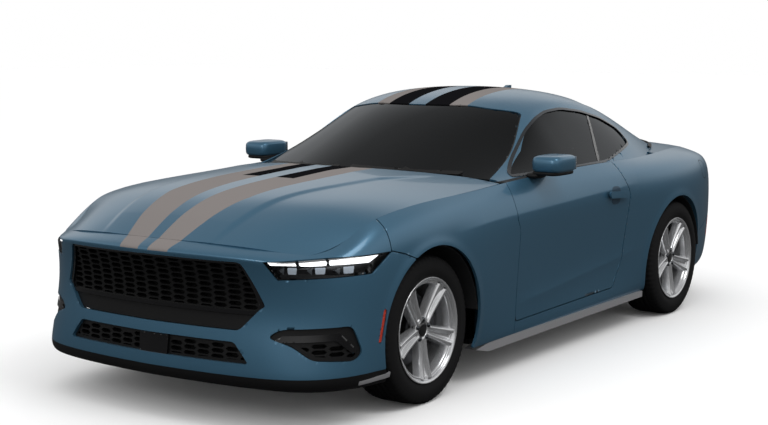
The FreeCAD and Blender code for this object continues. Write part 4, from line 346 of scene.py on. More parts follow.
def clipped(surface, us, vs, field):
    """A grid cut at field = 0: vertices near the cut step onto it, and cells outside are dropped.

    A step is f grad f / |grad f|^2 over the grid. The normals are dP/du x dP/dv on the whole grid,
    turned to look away from the car's long axis.
    """
    rows, columns = len(us), len(vs)
    i, j = [a.ravel().astype(float) for a in np.meshgrid(np.arange(rows), np.arange(columns), indexing="ij")]

    def place(i, j):
        return surface(np.interp(i, np.arange(rows), us), np.interp(j, np.arange(columns), vs))

    points = place(i, j)
    whole_grid = points.reshape(rows, columns, 3)
    normal = np.cross(np.gradient(whole_grid, axis=0), np.gradient(whole_grid, axis=1)).reshape(-1, 3)
    normal /= np.maximum(np.linalg.norm(normal, axis=1), TINY)[:, None]
    values = field(points)
    grid = values.reshape(rows, columns)
    gi, gj = [g.ravel() for g in np.gradient(grid)]
    slope = np.maximum(gi ** 2 + gj ** 2, FLATTEST)
    sign = grid > 0
    edge = np.zeros(grid.shape, bool)
    for axis in (0, 1):
        for shift in (1, -1):
            other = np.roll(sign, shift, axis)
            differ = other != sign
            ends = [slice(None), slice(None)]
            ends[axis] = 0 if shift == 1 else -1
            differ[tuple(ends)] = False
            edge |= differ
    near = edge.ravel() & (np.abs(values) < NEAR_CUT * np.sqrt(slope))
    moved = [i.copy(), j.copy()]
    now = values.copy()
    for _ in range(CUT_ROUNDS):
        for at, start, rise, last in ((moved[0], i, gi, rows - 1), (moved[1], j, gj, columns - 1)):
            stepped = at[near] - now[near] * rise[near] / slope[near]
            stepped = np.clip(stepped, start[near] - STEP_LIMIT, start[near] + STEP_LIMIT)
            at[near] = np.clip(stepped, 0, last)
        points[near] = place(moved[0][near], moved[1][near])
        now[near] = field(points[near])
    valid = (now > 0) | (near & (now > ON_CUT))
    cells = quads_of(np.arange(rows * columns).reshape(rows, columns))
    held = valid[cells]
    quads = cells[held.all(1)]
    three = held.sum(1) == 3
    order = np.argsort(~held[three], axis=1, kind="stable")[:, :3]
    triangles = np.take_along_axis(cells[three], np.sort(order, 1), 1)
    both, groups = in_use(np.concatenate([points, normal], 1), [quads, triangles])
    points, normal = both[:, :3], both[:, 3:]
    along = np.clip(points[:, 0], -AXIS_HALF, AXIS_HALF)
    axis = np.stack([along, np.zeros(len(along)), np.full(len(along), AXIS_UP)], 1)
    if (normal * (points - axis)).sum() < 0:
        normal = -normal
        groups = [g[:, ::-1] for g in groups]
    return points, normal, groups


def in_use(points, groups):
    """The rows of points that faces use, with the faces renumbered."""
    groups = [g for g in groups if len(g)]
    used = np.unique(np.concatenate([g.ravel() for g in groups]))
    renumber = np.full(len(points), -1)
    renumber[used] = np.arange(len(used))
    return points[used], [renumber[g] for g in groups]


BEVEL_FROM = math.radians(50)


def add_mesh(name, points, groups, material, body="body", smooth=True, bevel=0.0):
    """One mesh object at the origin from points and groups of faces, riding a body if one is named."""
    points, groups = in_use(np.asarray(points, float), groups)
    mesh = bpy.data.meshes.new(name)
    mesh.from_pydata(points.tolist(), [], [f for g in groups for f in g.tolist()])
    mesh.polygons.foreach_set("use_smooth", np.full(len(mesh.polygons), smooth))
    mesh.update()
    obj = bpy.data.objects.new(name, mesh)
    bpy.context.scene.collection.objects.link(obj)
    mesh.materials.append(material)
    if bevel:
        edge = obj.modifiers.new("Edges", "BEVEL")
        edge.width = bevel
        edge.segments = 2
        edge.limit_method = "ANGLE"
        edge.angle_limit = BEVEL_FROM
    if body:
        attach(obj, body)
    return obj


def flipped(points, groups):
    """The mirror image across the car's middle, with its faces turned back outwards."""
    return points * MIRROR, [g[:, ::-1] for g in groups]


def joined(parts):
    """Several meshes as one."""
    points, groups, count = [], [], 0
    for p, gs in parts:
        points.append(p)
        groups += [g + count for g in gs if len(g)]
        count += len(p)
    return np.concatenate(points), groups


def sheet(points):
    """Quads over a grid of points."""
    rows, columns = points.shape[:2]
    return points.reshape(-1, 3), [quads_of(np.arange(rows * columns).reshape(rows, columns))]


def revolved(profile, count):
    """A profile of (across, radius) about the width axis: (r sin a, across, r cos a)."""
    across, radius = np.asarray(profile, float).T
    turn = np.linspace(0, math.tau, count + 1)[:-1]
    points = np.stack([np.sin(turn)[:, None] * radius, np.broadcast_to(across, (count, len(across))),
                       np.cos(turn)[:, None] * radius], -1)
    index = np.arange(count * len(across)).reshape(count, len(across))
    return points.reshape(-1, 3), [quads_of(index, np.roll(index, -1, 0))]


def block(low, high):
    """A box between two corners."""
    low, high = np.asarray(low, float), np.asarray(high, float)
    share = np.array([[x, y, z] for x in (0, 1) for y in (0, 1) for z in (0, 1)])
    faces = np.array([[0, 1, 3, 2], [4, 6, 7, 5], [0, 4, 5, 1], [2, 3, 7, 6], [0, 2, 6, 4], [1, 5, 7, 3]])
    return low + share * (high - low), [faces]


def tube(path, radius, count=8):
    """A round tube along a path: P + r (cos a U + sin a V), with U and V across the direction at P."""
    path = np.asarray(path, float)
    run = np.gradient(path, axis=0)
    run /= np.linalg.norm(run, axis=1)[:, None]
    up = np.where(np.abs(run[:, 2:3]) > 0.9, [[1.0, 0, 0]], [[0, 0, 1.0]])
    one = np.cross(run, up)
    one /= np.linalg.norm(one, axis=1)[:, None]
    other = np.cross(run, one)
    turn = np.linspace(0, math.tau, count + 1)
    ring = (path[:, None] + radius * (np.cos(turn)[None, :, None] * one[:, None]
                                      + np.sin(turn)[None, :, None] * other[:, None]))
    return sheet(ring)


# Materials, each from what the real one is
COAT_ROUGHNESS = 0.04
BUMP_DEPTH = 0.001
GLASS_IOR = 1.5
GLASS_GLOSS, GLASS_ROUGH = (0.5, 0.52, 0.54, 1), 0.02
GLASS_CLEAR = 0.20
LAMP_GLOW = 1.6
# Colours that the panel offers
PAINT_LIGHT, PAINT_DARK = "#467089", "#3b627b"
STRIPE_GREY, STRIPE_BLACK = "#7a7573", "#121214"
GLASS_TINT, SKIRT_SILVER, SEAT_BLACK = "#6a7278", "#a9a9ac", "#161617"


def linear(code):
    """A hex colour as linear light: c / 12.92 up to 0.04045, and ((c + 0.055) / 1.055) ** 2.4 above."""
    parts = [int(code[k:k + 2], 16) / 255 for k in (1, 3, 5)]
    return [c / 12.92 if c <= 0.04045 else ((c + 0.055) / 1.055) ** 2.4 for c in parts] + [1.0]


def node(tree, kind, inputs=None, **settings):
    """One node with its settings, each input linked to a socket or set to a value."""
    made = tree.nodes.new(kind)
    for name, value in settings.items():
        setattr(made, name, value)
    for socket, source in (inputs or {}).items():
        if isinstance(source, bpy.types.NodeSocket):
            tree.links.new(source, made.inputs[socket])
        else:
            made.inputs[socket].default_value = source
    return made


def blank(name):
    """A new material with an empty node tree."""
    material = bpy.data.materials.new(name)
    material.use_nodes = True
    tree = material.node_tree
    tree.nodes.clear()
    return material, tree


def finish(tree, shader):
    """The shader goes to the surface."""
    node(tree, "ShaderNodeOutputMaterial", {"Surface": shader})


def plain(name, colour, rough, metal=0.0, coat=0.0, grain=0.0, grain_mm=3.33, specular=0.5, glow=0.0):
    """A finish of one colour: noise over Object coordinates, one cell to a grain, raises a small bump.

    The grains are drawn a few times coarser than real ones, because finer ones don't show.
    """
    material, tree = blank(name)
    inputs = {"Base Color": linear(colour), "Metallic": metal, "Roughness": rough, "Coat Weight": coat,
              "Coat Roughness": COAT_ROUGHNESS, "Specular IOR Level": specular}
    if glow:
        inputs.update({"Emission Color": linear(colour), "Emission Strength": glow})
    if grain:
        where = node(tree, "ShaderNodeTexCoord").outputs["Object"]
        noise = node(tree, "ShaderNodeTexNoise", {"Vector": where, "Scale": 1000 / grain_mm})
        bump = node(tree, "ShaderNodeBump",
                    {"Height": noise.outputs["Fac"], "Strength": grain, "Distance": BUMP_DEPTH})
        inputs["Normal"] = bump.outputs["Normal"]
    shader = node(tree, "ShaderNodeBsdfPrincipled", inputs, name="Finish")
    finish(tree, shader.outputs["BSDF"])
    return material


def curve_of(tree, source, stops):
    """A piecewise straight curve through (place, value) pairs, by a colour ramp over their places."""
    low, high = stops[0][0], stops[-1][0]
    share = node(tree, "ShaderNodeMapRange", {"Value": source, "From Min": low, "From Max": high})
    ramp = node(tree, "ShaderNodeValToRGB", {"Fac": share.outputs["Result"]})
    entries = ramp.color_ramp.elements
    while len(entries) < len(stops):
        entries.new(0.5)
    for entry, (place, value) in zip(entries, stops):
        entry.position = (place - low) / (high - low)
        entry.color = (value, value, value, 1)
    return ramp.outputs["Color"]


# Half widths of the stripes along the car: inner edge, outer edge, and black to grey
STRIPE_INNER = [(-2.4, 0.055), (-1.0, 0.055), (0.2, 0.055), (1.2, 0.052), (1.7, 0.052),
                (2.1, 0.040), (2.4, 0.029)]
STRIPE_OUTER = [(-2.4, 0.250), (-1.0, 0.290), (0.2, 0.300), (0.95, 0.268), (1.5, 0.272),
                (1.95, 0.245), (2.2, 0.196), (2.32, 0.162), (2.4, 0.140)]
BLACK_OUTER = [(-2.4, 0.170), (-1.0, 0.195), (0.2, 0.200), (0.95, 0.170), (1.24, 0.148), (1.55, 0.160)]
STRIPE_FRONT_UP = 0.757
BLACK_FRONT = 1.527
FLAKE_MM = 1.11
PAINT_METAL, PAINT_COAT, PAINT_SPECULAR = 0.55, 0.35, 0.5
PAINT_ROUGH, PAINT_COAT_ROUGH = 0.34, 0.05


def body_paint():
    """Metallic paint under clear coat, with stripes on the faces above the grille.

    A stripe holds where inner(x) < |y| < outer(x), and is black where |y| < black(x) behind the
    place where its front part ends. Stripes are matt vinyl, so they take no metal, coat or gloss.
    """
    material, tree = blank("Metallic paint")
    where = node(tree, "ShaderNodeTexCoord").outputs["Object"]
    along, aside, up = node(tree, "ShaderNodeSeparateXYZ", {"Vector": where}).outputs
    inner, outer, middle = [curve_of(tree, along, stops)
                            for stops in (STRIPE_INNER, STRIPE_OUTER, BLACK_OUTER)]
    # Each step's name, what it does and to what: a text names an earlier step
    made = {}
    for name, operation, *values in (
            ("across", "ABSOLUTE", aside),
            ("past inner edge", "GREATER_THAN", "across", inner),
            ("within outer edge", "LESS_THAN", "across", outer),
            ("between edges", "MULTIPLY", "past inner edge", "within outer edge"),
            ("above grille", "GREATER_THAN", up, STRIPE_FRONT_UP),
            ("striped", "MULTIPLY", "between edges", "above grille"),
            ("within black", "LESS_THAN", "across", middle),
            ("behind front part", "LESS_THAN", along, BLACK_FRONT),
            ("black", "MULTIPLY", "within black", "behind front part"),
            ("bare", "SUBTRACT", 1.0, "striped"),
            ("metal", "MULTIPLY", "bare", PAINT_METAL),
            ("coat", "MULTIPLY", "bare", PAINT_COAT),
            ("specular", "MULTIPLY", "bare", PAINT_SPECULAR)):
        inputs = {at: made[value] if isinstance(value, str) else value for at, value in enumerate(values)}
        made[name] = node(tree, "ShaderNodeMath", inputs, operation=operation).outputs[0]
    flake = node(tree, "ShaderNodeTexNoise", {"Vector": where, "Scale": 1000 / FLAKE_MM, "Detail": 1})
    tint = node(tree, "ShaderNodeMixRGB", {"Fac": flake.outputs["Fac"], "Color1": linear(PAINT_DARK),
                                           "Color2": linear(PAINT_LIGHT)}, name="Flakes")
    dark = node(tree, "ShaderNodeMixRGB", {"Fac": made["black"], "Color1": linear(STRIPE_GREY),
                                           "Color2": linear(STRIPE_BLACK)}, name="Stripes")
    colour = node(tree, "ShaderNodeMixRGB", {"Fac": made["striped"], "Color1": tint.outputs["Color"],
                                             "Color2": dark.outputs["Color"]})
    shader = node(tree, "ShaderNodeBsdfPrincipled", {
        "Base Color": colour.outputs["Color"], "Metallic": made["metal"], "Roughness": PAINT_ROUGH,
        "Coat Weight": made["coat"], "Coat Roughness": PAINT_COAT_ROUGH,
        "Specular IOR Level": made["specular"]})
    finish(tree, shader.outputs["BSDF"])
    return material


def tinted_glass(name, colour, clear):
    """Sheet glass: its colour times its clearness seen through, under a gloss that grows by Fresnel's law."""
    material, tree = blank(name)
    through = node(tree, "ShaderNodeBsdfTransparent",
                   {"Color": [c * clear for c in linear(colour)[:3]] + [1]}, name="Tint")
    gloss = node(tree, "ShaderNodeBsdfGlossy", {"Color": GLASS_GLOSS, "Roughness": GLASS_ROUGH})
    share = node(tree, "ShaderNodeFresnel", {"IOR": GLASS_IOR})
    mixed = node(tree, "ShaderNodeMixShader", {
        0: share.outputs["Fac"], 1: through.outputs["BSDF"], 2: gloss.outputs["BSDF"]})
    finish(tree, mixed.outputs["Shader"])
    return material


# Sprayed colour with aluminium flakes: deep, with a soft broad highlight
PAINT = body_paint()
# Moulded with a leather grain: black and dull, with no sharp highlight
TRIM = plain("Grained black plastic", "#0c0c0d", 0.5, grain=0.2, grain_mm=1.43, specular=0.25)
# Polished mould: a black mirror
GLOSS_BLACK = plain("Gloss black plastic", "#08080a", 0.12, coat=0.6)
# Plated over a dark layer: smoky reflections
DARK_CHROME = plain("Dark chrome", "#4c4f53", 0.18, metal=1.0)
# Sprayed and left without clear coat: an even pale sheen
SILVER = plain("Satin silver paint", SKIRT_SILVER, 0.35, metal=0.5, grain=0.05)
# Float glass tinted in the mass: dark from outside
GLASS = tinted_glass("Tinted glass", GLASS_TINT, GLASS_CLEAR)
# Injection-moulded polycarbonate: nearly unseen but for its gloss
CLEAR = tinted_glass("Clear lens", "#f4f6f8", 0.95)
# Lit acrylic: evenly white
WHITE_LIGHT = plain("White light guide", "#ffffff", 0.3, glow=LAMP_GLOW)
# Moulded red acrylic: deep red with a sharp highlight
RED_LENS = plain("Red lens", "#7c0d0d", 0.12, coat=0.8)
# Moulded with small prisms: breaks the light up
AMBER = plain("Amber reflector", "#b3341c", 0.35, grain=0.6, grain_mm=1.11)
# Turned after casting and lacquered: bright, slightly brushed
CHROME = plain("Bright machined aluminium", "#d8d9db", 0.26, metal=0.8)
# Vulcanised in a matt mould: nearly black and dry
RUBBER = plain("Tyre rubber", "#121213", 0.8, grain=0.25, grain_mm=2.0, specular=0.2)
# Lathe-turned face: dark grey metal
IRON = plain("Turned cast iron", "#3c3d40", 0.35, metal=0.9, grain=0.2, grain_mm=2.5)
# Sand-cast and bare: rough mid grey
CALIPER = plain("Cast iron calliper", "#5c5d60", 0.5, metal=0.6, grain=0.3)
# Sprayed sealer: lumpy and dull
UNDER = plain("Sealed underbody", "#17181a", 0.8, grain=0.4, grain_mm=5.0)
# Die-cast and untreated: pale grey and dull
ENGINE = plain("Cast aluminium", "#6c6d6f", 0.6, metal=0.7, grain=0.4)
# Drawn tube: bright with a soft highlight
STEEL = plain("Stainless steel", "#9c9da0", 0.28, metal=1.0)
# Woven and brushed: black without a highlight
CLOTH = plain("Black seat cloth", SEAT_BLACK, 0.95, grain=0.8, grain_mm=0.714)
# Soft skin over foam: dull and finely grained
DASH = plain("Soft dash plastic", "#17181a", 0.7, grain=0.4, grain_mm=1.11)
# Painted shade: a near-black sheet behind the meshes, openings and gaps, so that each reads as a hole in
# shade
SHADE_BLACK = plain("Painted shade black", "#050505", 0.9)
# Smooth unpainted moulding: mid grey, half gloss
GREY_LAMP = plain("Grey lamp plastic", "#6f7478", 0.25, coat=0.3)
# Lens with a frosted back: pale, glowing a little
PROJECTOR = plain("Frosted projector", "#c8d2dc", 0.15, coat=0.8, glow=0.25)
# The body's paint where no light from above reaches it
SHADED_PAINT = plain("Metallic paint in shade", "#2d4658", 0.4, metal=0.4)
# Hard-coated display: black, with room reflections
SCREEN_GLASS = plain("Screen glass", "#0b0d10", 0.08, coat=0.5)

# Outlines, in metres. Side view: along, up
DOOR = [(0.7144, 1.02), (0.7144, 0.7823), (0.683, 0.7264), (0.683, 0.2612), (-0.4522, 0.271),
        (-0.5388, 0.4107), (-0.5725, 0.6776), (-0.5869, 0.8005), (-0.5388, 0.8885), (-0.4811, 1.02)]
DOOR_FRONT = DOOR[:4]
SEAM = [(1.8089, 0.7558), (1.7223, 0.7334), (1.6405, 0.7013), (1.3471, 0.4191)]
TAIL = [(-2.16, 1.4), (-2.11, 0.64), (-1.99, 0.56), (-1.64, 0.47), (-1.64, 0.0)]
MARKER = [(1.8546, 0.5085), (1.8739, 0.5085), (1.9100, 0.3660), (1.8907, 0.3660)]
REAR_MARKER = [(-1.955, 0.530), (-1.935, 0.530), (-1.925, 0.400), (-1.940, 0.400)]
GLASS_SIDE = [(0.5677, 0.9765), (0.2863, 1.1060), (0.1251, 1.1880), (-0.0096, 1.2405),
              (-0.1491, 1.2727), (-0.3296, 1.2824), (-0.5677, 1.2587), (-0.8251, 1.2084),
              (-1.0103, 1.14), (-1.0296, 1.0547), (-0.688, 1.0114), (-0.4955, 0.9849)]
DIVIDER = [(-0.7217, 1.3411), (-0.6591, 1.2349), (-0.4017, 0.9849), (-0.4017, 0.922)]
FUEL_FLAP = [(-1.790, 0.900), (-1.700, 0.912), (-1.690, 0.800), (-1.785, 0.790)]
HANDLE = [(-0.530, 0.818), (-0.300, 0.832), (-0.300, 0.796), (-0.530, 0.780)]
# Outline of the painted shade in each door handle's dish
HANDLE_DISH_SHADE = [(-0.470, 0.850), (-0.360, 0.855), (-0.350, 0.755), (-0.460, 0.750)]
LIP_END = [(1.82, 0.222), (2.02, 0.212), (2.02, 0.196), (1.82, 0.200)]
# Front view: across, up
GRILLE = [(-0.5056, 0.7362), (0.0, 0.7404), (0.5056, 0.7362), (0.5956, 0.542), (0.5745, 0.5364),
          (0.4788, 0.4359), (-0.4788, 0.4359), (-0.5745, 0.5364), (-0.5956, 0.542)]
GRILLE_TOP = [(-0.5056, 0.7362), (0.0, 0.7404), (0.5056, 0.7362), (0.5821, 0.542), (0.5600, 0.5100),
              (-0.5600, 0.5100), (-0.5821, 0.542)]
LOWER = [(-0.4596, 0.387), (0.4596, 0.387), (0.5362, 0.2962), (-0.5362, 0.2962)]
SENSOR = [(-0.063, 0.386), (0.109, 0.386), (0.104, 0.287), (-0.058, 0.287)]
TAIL_LAMP = [(0.1724, 0.7823), (0.6128, 0.8033), (0.6128, 0.9081), (0.1628, 0.8941)]
SCREEN = [(0.766, 0.95), (0.7564, 0.9723), (0.5927, 1.2419), (0.5659, 1.2769), (0.3093, 1.3118),
          (-0.3093, 1.3118), (-0.5659, 1.2769), (-0.5927, 1.2419), (-0.7564, 0.9723), (-0.766, 0.95)]
# Corner view: across the line of sight, up
LAMP = [(-0.8282, 0.7404), (-0.766, 0.6622), (-0.3677, 0.672), (-0.2815, 0.7544), (-0.3897, 0.7516),
        (-0.5554, 0.7488)]
DAY_BARS = [[(-0.800, 0.722), (-0.683, 0.724), (-0.690, 0.746), (-0.812, 0.741)],
            [(-0.668, 0.724), (-0.556, 0.724), (-0.560, 0.748), (-0.676, 0.747)],
            [(-0.543, 0.724), (-0.372, 0.720), (-0.330, 0.748), (-0.548, 0.748)]]
PROJECTORS = [[(-0.722, 0.684), (-0.686, 0.683), (-0.682, 0.713), (-0.724, 0.713)],
              [(-0.603, 0.684), (-0.563, 0.684), (-0.559, 0.714), (-0.605, 0.714)],
              [(-0.482, 0.682), (-0.440, 0.682), (-0.436, 0.713), (-0.484, 0.713)]]
FINS = [[(-0.762, 0.700), (-0.738, 0.712), (-0.741, 0.680)],
        [(-0.640, 0.700), (-0.616, 0.712), (-0.619, 0.680)],
        [(-0.520, 0.698), (-0.496, 0.711), (-0.499, 0.679)]]
INTAKE = [(-0.8158, 0.4149), (-0.7564, 0.4512), (-0.45, 0.4582), (-0.406, 0.3381), (-0.4385, 0.3045),
          (-0.6224, 0.3199), (-0.7086, 0.38)]
INTAKE_BAR = [(-0.790, 0.400), (-0.748, 0.424), (-0.500, 0.430), (-0.428, 0.352), (-0.448, 0.338),
              (-0.520, 0.400), (-0.735, 0.396), (-0.772, 0.378)]
# Plan view: along, across
REAR_SCREEN = [(-0.7361, 0.5362), (-1.756, 0.4788), (-1.756, -0.4788), (-0.7361, -0.5362)]
DECKLID = [(-1.9292, 0.5362), (-2.1289, 0.5123), (-2.2491, 0.316), (-2.2732, 0.0), (-2.2491, -0.316),
           (-2.1289, -0.5123), (-1.9292, -0.5362)]
HOOD_REAR = [(0.842, 0.6128), (0.962, 0.383), (1.0512, 0.1915), (1.0728, 0.0), (1.0512, -0.1915),
             (0.962, -0.383), (0.842, -0.6128)]
HOOD = ([(3.0, 1.2), (0.775, 1.2), (0.775, 0.86)] + HOOD_REAR
        + [(0.775, -0.86), (0.775, -1.2), (3.0, -1.2)])

# How far the corners of outlines are rounded
DOOR_ROUND, LID_ROUND, GRILLE_ROUND, LOWER_ROUND = 0.025, 0.03, 0.02, 0.015
INTAKE_ROUND, TAIL_LAMP_ROUND = 0.03, 0.02
SCREEN_ROUND, REAR_SCREEN_ROUND, SIDE_GLASS_ROUND = 0.06, 0.05, 0.05
# The gap round lamps and markers, inside the door's outline, and outside it at the quarter
LAMP_GAP = 0.001
DOOR_GAP = 0.0005
QUARTER_GAP = 0.005
# Feet of the bumper, the lip and the panels behind it, and the rear bumper's tunnel: up, half width
BUMPER_FOOT, LIP_TOP, PANEL_FOOT = 0.242, 0.241, 0.196
TUNNEL_TOP, TUNNEL_HALF = 0.392, 0.640
# Places along the car ahead of which front pieces lie and behind which rear pieces lie
FRONT_PIECES, LAMP_PIECES, REAR_PIECES, REAR_MARKERS = 1.3, 1.5, -1.9, -1.8
# Above this the rear window lies, and outside this the side windows
GLASS_UP, GLASS_ACROSS = 0.6, 0.3
# A field's value where its piece can't be
OUTSIDE = -0.5
# Beyond every piece: ahead, up and down
FAR_AHEAD, FAR_UP, FAR_DOWN = 4.0, 3.0, -1.0


def chosen(name):
    """A size from the panel, to the micrometre, because the panel keeps single precision."""
    return round(getattr(bpy.context.scene.car, name), 6)


def arch(points, along, radius):
    """Distance outside a wheel arch: hypot(x - axle, z - axle) - radius."""
    return np.hypot(points[:, 0] - along, points[:, 2] - AXLE_UP) - radius


def front_arch(points):
    """Distance outside the front wheel's arch."""
    return arch(points, FRONT_AXLE, FRONT_ARCH)


def rear_arch(points):
    """Distance outside the rear wheel's arch."""
    return arch(points, REAR_AXLE, REAR_ARCH)


def ahead_of(points, line):
    """Distance ahead of a line in side view that runs from high to low, as one side of a large outline."""
    shape = ([(FAR_AHEAD, FAR_UP), (line[0][0], FAR_UP)] + list(line)
             + [(line[-1][0], FAR_DOWN), (FAR_AHEAD, FAR_DOWN)])
    return signed(side_view(points), shape)


def front_only(points, field):
    """A field on the car's front end, and outside behind it."""
    return np.where(points[:, 0] > FRONT_PIECES, field, OUTSIDE)


def lamp_end(points, outline):
    """Inside an outline in corner view, ahead of the front wheels only: the lesser of both fields."""
    ahead = np.where(points[:, 0] > LAMP_PIECES, -OUTSIDE, OUTSIDE)
    return np.minimum(signed(corner_view(points), outline), ahead)


def lamp_field(points):
    """Inside a headlamp."""
    return lamp_end(points, LAMP)


def intake_field(points):
    """Inside a corner intake."""
    return lamp_end(points, rounded(INTAKE, INTAKE_ROUND))


def marker_field(points):
    """Inside a front side marker."""
    return front_only(points, signed(side_view(points), MARKER))


def seam_field(points):
    """Ahead of the front bumper's seam, less half a shut line."""
    return ahead_of(points, SEAM) - chosen("shut_line")


def bumper_field(points):
    """Ahead of the seam, outside the lamps, the intakes and both grilles."""
    grille = front_only(points, signed(mirrored_view(points), rounded(GRILLE, GRILLE_ROUND)))
    lower = front_only(points, signed(mirrored_view(points), rounded(LOWER, LOWER_ROUND)))
    return np.minimum.reduce([
        seam_field(points), -lamp_field(points) - LAMP_GAP, -intake_field(points), -grille, -lower,
        -marker_field(points), front_arch(points), points[:, 2] - BUMPER_FOOT])


def lip_field(points):
    """Ahead of the seam and under the bumper."""
    return np.minimum(seam_field(points), np.minimum(front_arch(points), LIP_TOP - points[:, 2]))


def fender_field(points):
    """Between the bumper's seam and the door, round the arch and the lamp."""
    shut = chosen("shut_line")
    return np.minimum.reduce([
        -ahead_of(points, SEAM) - shut, ahead_of(points, DOOR_FRONT) - shut - LAMP_GAP,
        front_arch(points), -lamp_field(points) - LAMP_GAP, points[:, 2] - PANEL_FOOT])


def door_outline(points):
    """Distance inside the door's outline with rounded corners."""
    return signed(side_view(points), rounded(DOOR, DOOR_ROUND))


def door_field(points):
    """Inside the door's outline, less the gap at its edge."""
    return door_outline(points) - DOOR_GAP


def tail_lamp_field(points):
    """Inside a tail lamp, at the rear only: the lesser of both fields."""
    behind = np.where(points[:, 0] < REAR_PIECES, -OUTSIDE, OUTSIDE)
    return np.minimum(signed(mirrored_view(points), rounded(TAIL_LAMP, TAIL_LAMP_ROUND)), behind)


def quarter_field(points):
    """Behind the fender and outside the door, down to the skirt, up to the rear bumper."""
    return np.minimum.reduce([
        -ahead_of(points, DOOR_FRONT), -door_outline(points) - QUARTER_GAP, rear_arch(points),
        ahead_of(points, TAIL) - chosen("shut_line"), points[:, 2] - PANEL_FOOT,
        -tail_lamp_field(points) - LAMP_GAP])


def tail_field(points):
    """Behind the quarter, outside the lamps and the tunnel for the diffuser."""
    tunnel = np.minimum(TUNNEL_TOP - points[:, 2], TUNNEL_HALF - np.abs(points[:, 1]))
    return np.minimum.reduce([
        -ahead_of(points, TAIL) - chosen("shut_line"), rear_arch(points),
        -tail_lamp_field(points) - LAMP_GAP, -tunnel])


def hood_field(points):
    """Inside the hood's outline, less half a shut line."""
    return signed(plan_view(points), HOOD) - chosen("shut_line")


def lid_outline(points):
    """Distance inside the decklid's outline with rounded corners."""
    return signed(plan_view(points), rounded(DECKLID, LID_ROUND))


def deck_field(points):
    """Outside the decklid, less half a shut line."""
    return -lid_outline(points) - chosen("shut_line")


def decklid_field(points):
    """Inside the decklid, less half a shut line."""
    return lid_outline(points) - chosen("shut_line")


def screen_area(points):
    """Distance inside the windscreen's opening."""
    inside = signed(front_view(points), rounded(SCREEN, SCREEN_ROUND))
    return np.where(points[:, 0] > 0, inside, OUTSIDE)


def rear_area(points):
    """Distance inside the rear window's opening."""
    inside = signed(plan_view(points), rounded(REAR_SCREEN, REAR_SCREEN_ROUND))
    return np.where(points[:, 2] > GLASS_UP, inside, OUTSIDE)


def side_area(points):
    """Distance inside the side windows' opening."""
    inside = signed(side_view(points), rounded(GLASS_SIDE, SIDE_GLASS_ROUND))
    return np.where(np.abs(points[:, 1]) > GLASS_ACROSS, inside, OUTSIDE)


def roof_field(points):
    """The roof with its pillars: all of the cabin outside the glass."""
    return np.minimum.reduce([-screen_area(points), -rear_area(points), -side_area(points)])


def strip_field(shape, half, view):
    """Inside within half a width of the line of an outline."""
    return lambda points: half - np.abs(signed(view(points), shape))


def segment_field(a, b, half, view):
    """Inside within half a width of a straight line from a to b in a view."""
    a, b = np.asarray(a, float), np.asarray(b, float)

    def field(points):
        at = view(points) - a
        share = np.clip(at @ (b - a) / ((b - a) @ (b - a)), 0, 1)
        return half - np.linalg.norm(at - share[:, None] * (b - a), axis=1)
    return field


def shape_field(shape, view, when=lambda points: points[:, 0] > FRONT_PIECES):
    """Inside an outline in a view, where a condition holds."""
    return lambda points: np.where(when(points), signed(view(points), shape), OUTSIDE)


def border_field(area, outer, inner):
    """A band along the edge of a field, from a width outside it to a width inside it."""
    return lambda points: np.minimum(area(points) + outer, inner - area(points))


# Coarse grid that finds where a field holds, how near to it counts, and the finest grids allowed
SEARCH_ROWS, SEARCH_COLUMNS, SEARCH_NEAR = 260, 120, -0.012
FEWEST_ROWS, MOST_ROWS, FEWEST_COLUMNS, MOST_COLUMNS = 8, 620, 6, 300


def window(surface, field, us, vs, step):
    """The rows and columns, about a step apart, of the part of a surface that a field holds."""
    u = np.linspace(*us, SEARCH_ROWS)
    v = np.linspace(*vs, SEARCH_COLUMNS)
    at_u, at_v = np.meshgrid(u, v, indexing="ij")
    points = surface(at_u.ravel(), at_v.ravel())
    held = field(points).reshape(at_u.shape) > SEARCH_NEAR
    rows = np.flatnonzero(held.any(1))
    columns = np.flatnonzero(held.any(0))
    low_u, high_u = max(rows[0] - 1, 0), min(rows[-1] + 1, len(u) - 1)
    low_v, high_v = max(columns[0] - 1, 0), min(columns[-1] + 1, len(v) - 1)
    part = points.reshape(len(u), len(v), 3)[low_u:high_u + 1, low_v:high_v + 1]
    along = np.linalg.norm(np.diff(part, axis=0), axis=2).sum(0).max()
    across = np.linalg.norm(np.diff(part, axis=1), axis=2).sum(1).max()
    return (np.linspace(u[low_u], u[high_u], int(np.clip(along / step, FEWEST_ROWS, MOST_ROWS))),
            np.linspace(v[low_v], v[high_v], int(np.clip(across / step, FEWEST_COLUMNS, MOST_COLUMNS))))


def rim_of(points, groups, inwards):
    """A wall inwards from each edge that only one face has, on points of its own so that it stays sharp."""
    edges = np.concatenate([np.stack([g, np.roll(g, -1, 1)], -1).reshape(-1, 2) for g in groups])
    low, high = edges.min(1).astype(np.int64), edges.max(1).astype(np.int64)
    key = low * len(points) + high
    where, count = np.unique(key, return_inverse=True, return_counts=True)[1:]
    open_edges = edges[count[where] == 1]
    used, place = np.unique(open_edges, return_inverse=True)
    start, end = place.reshape(open_edges.shape).T
    quads = np.stack([end, start, start + len(used), end + len(used)], -1)
    return np.concatenate([points[used], points[used] + inwards[used]]), [quads]


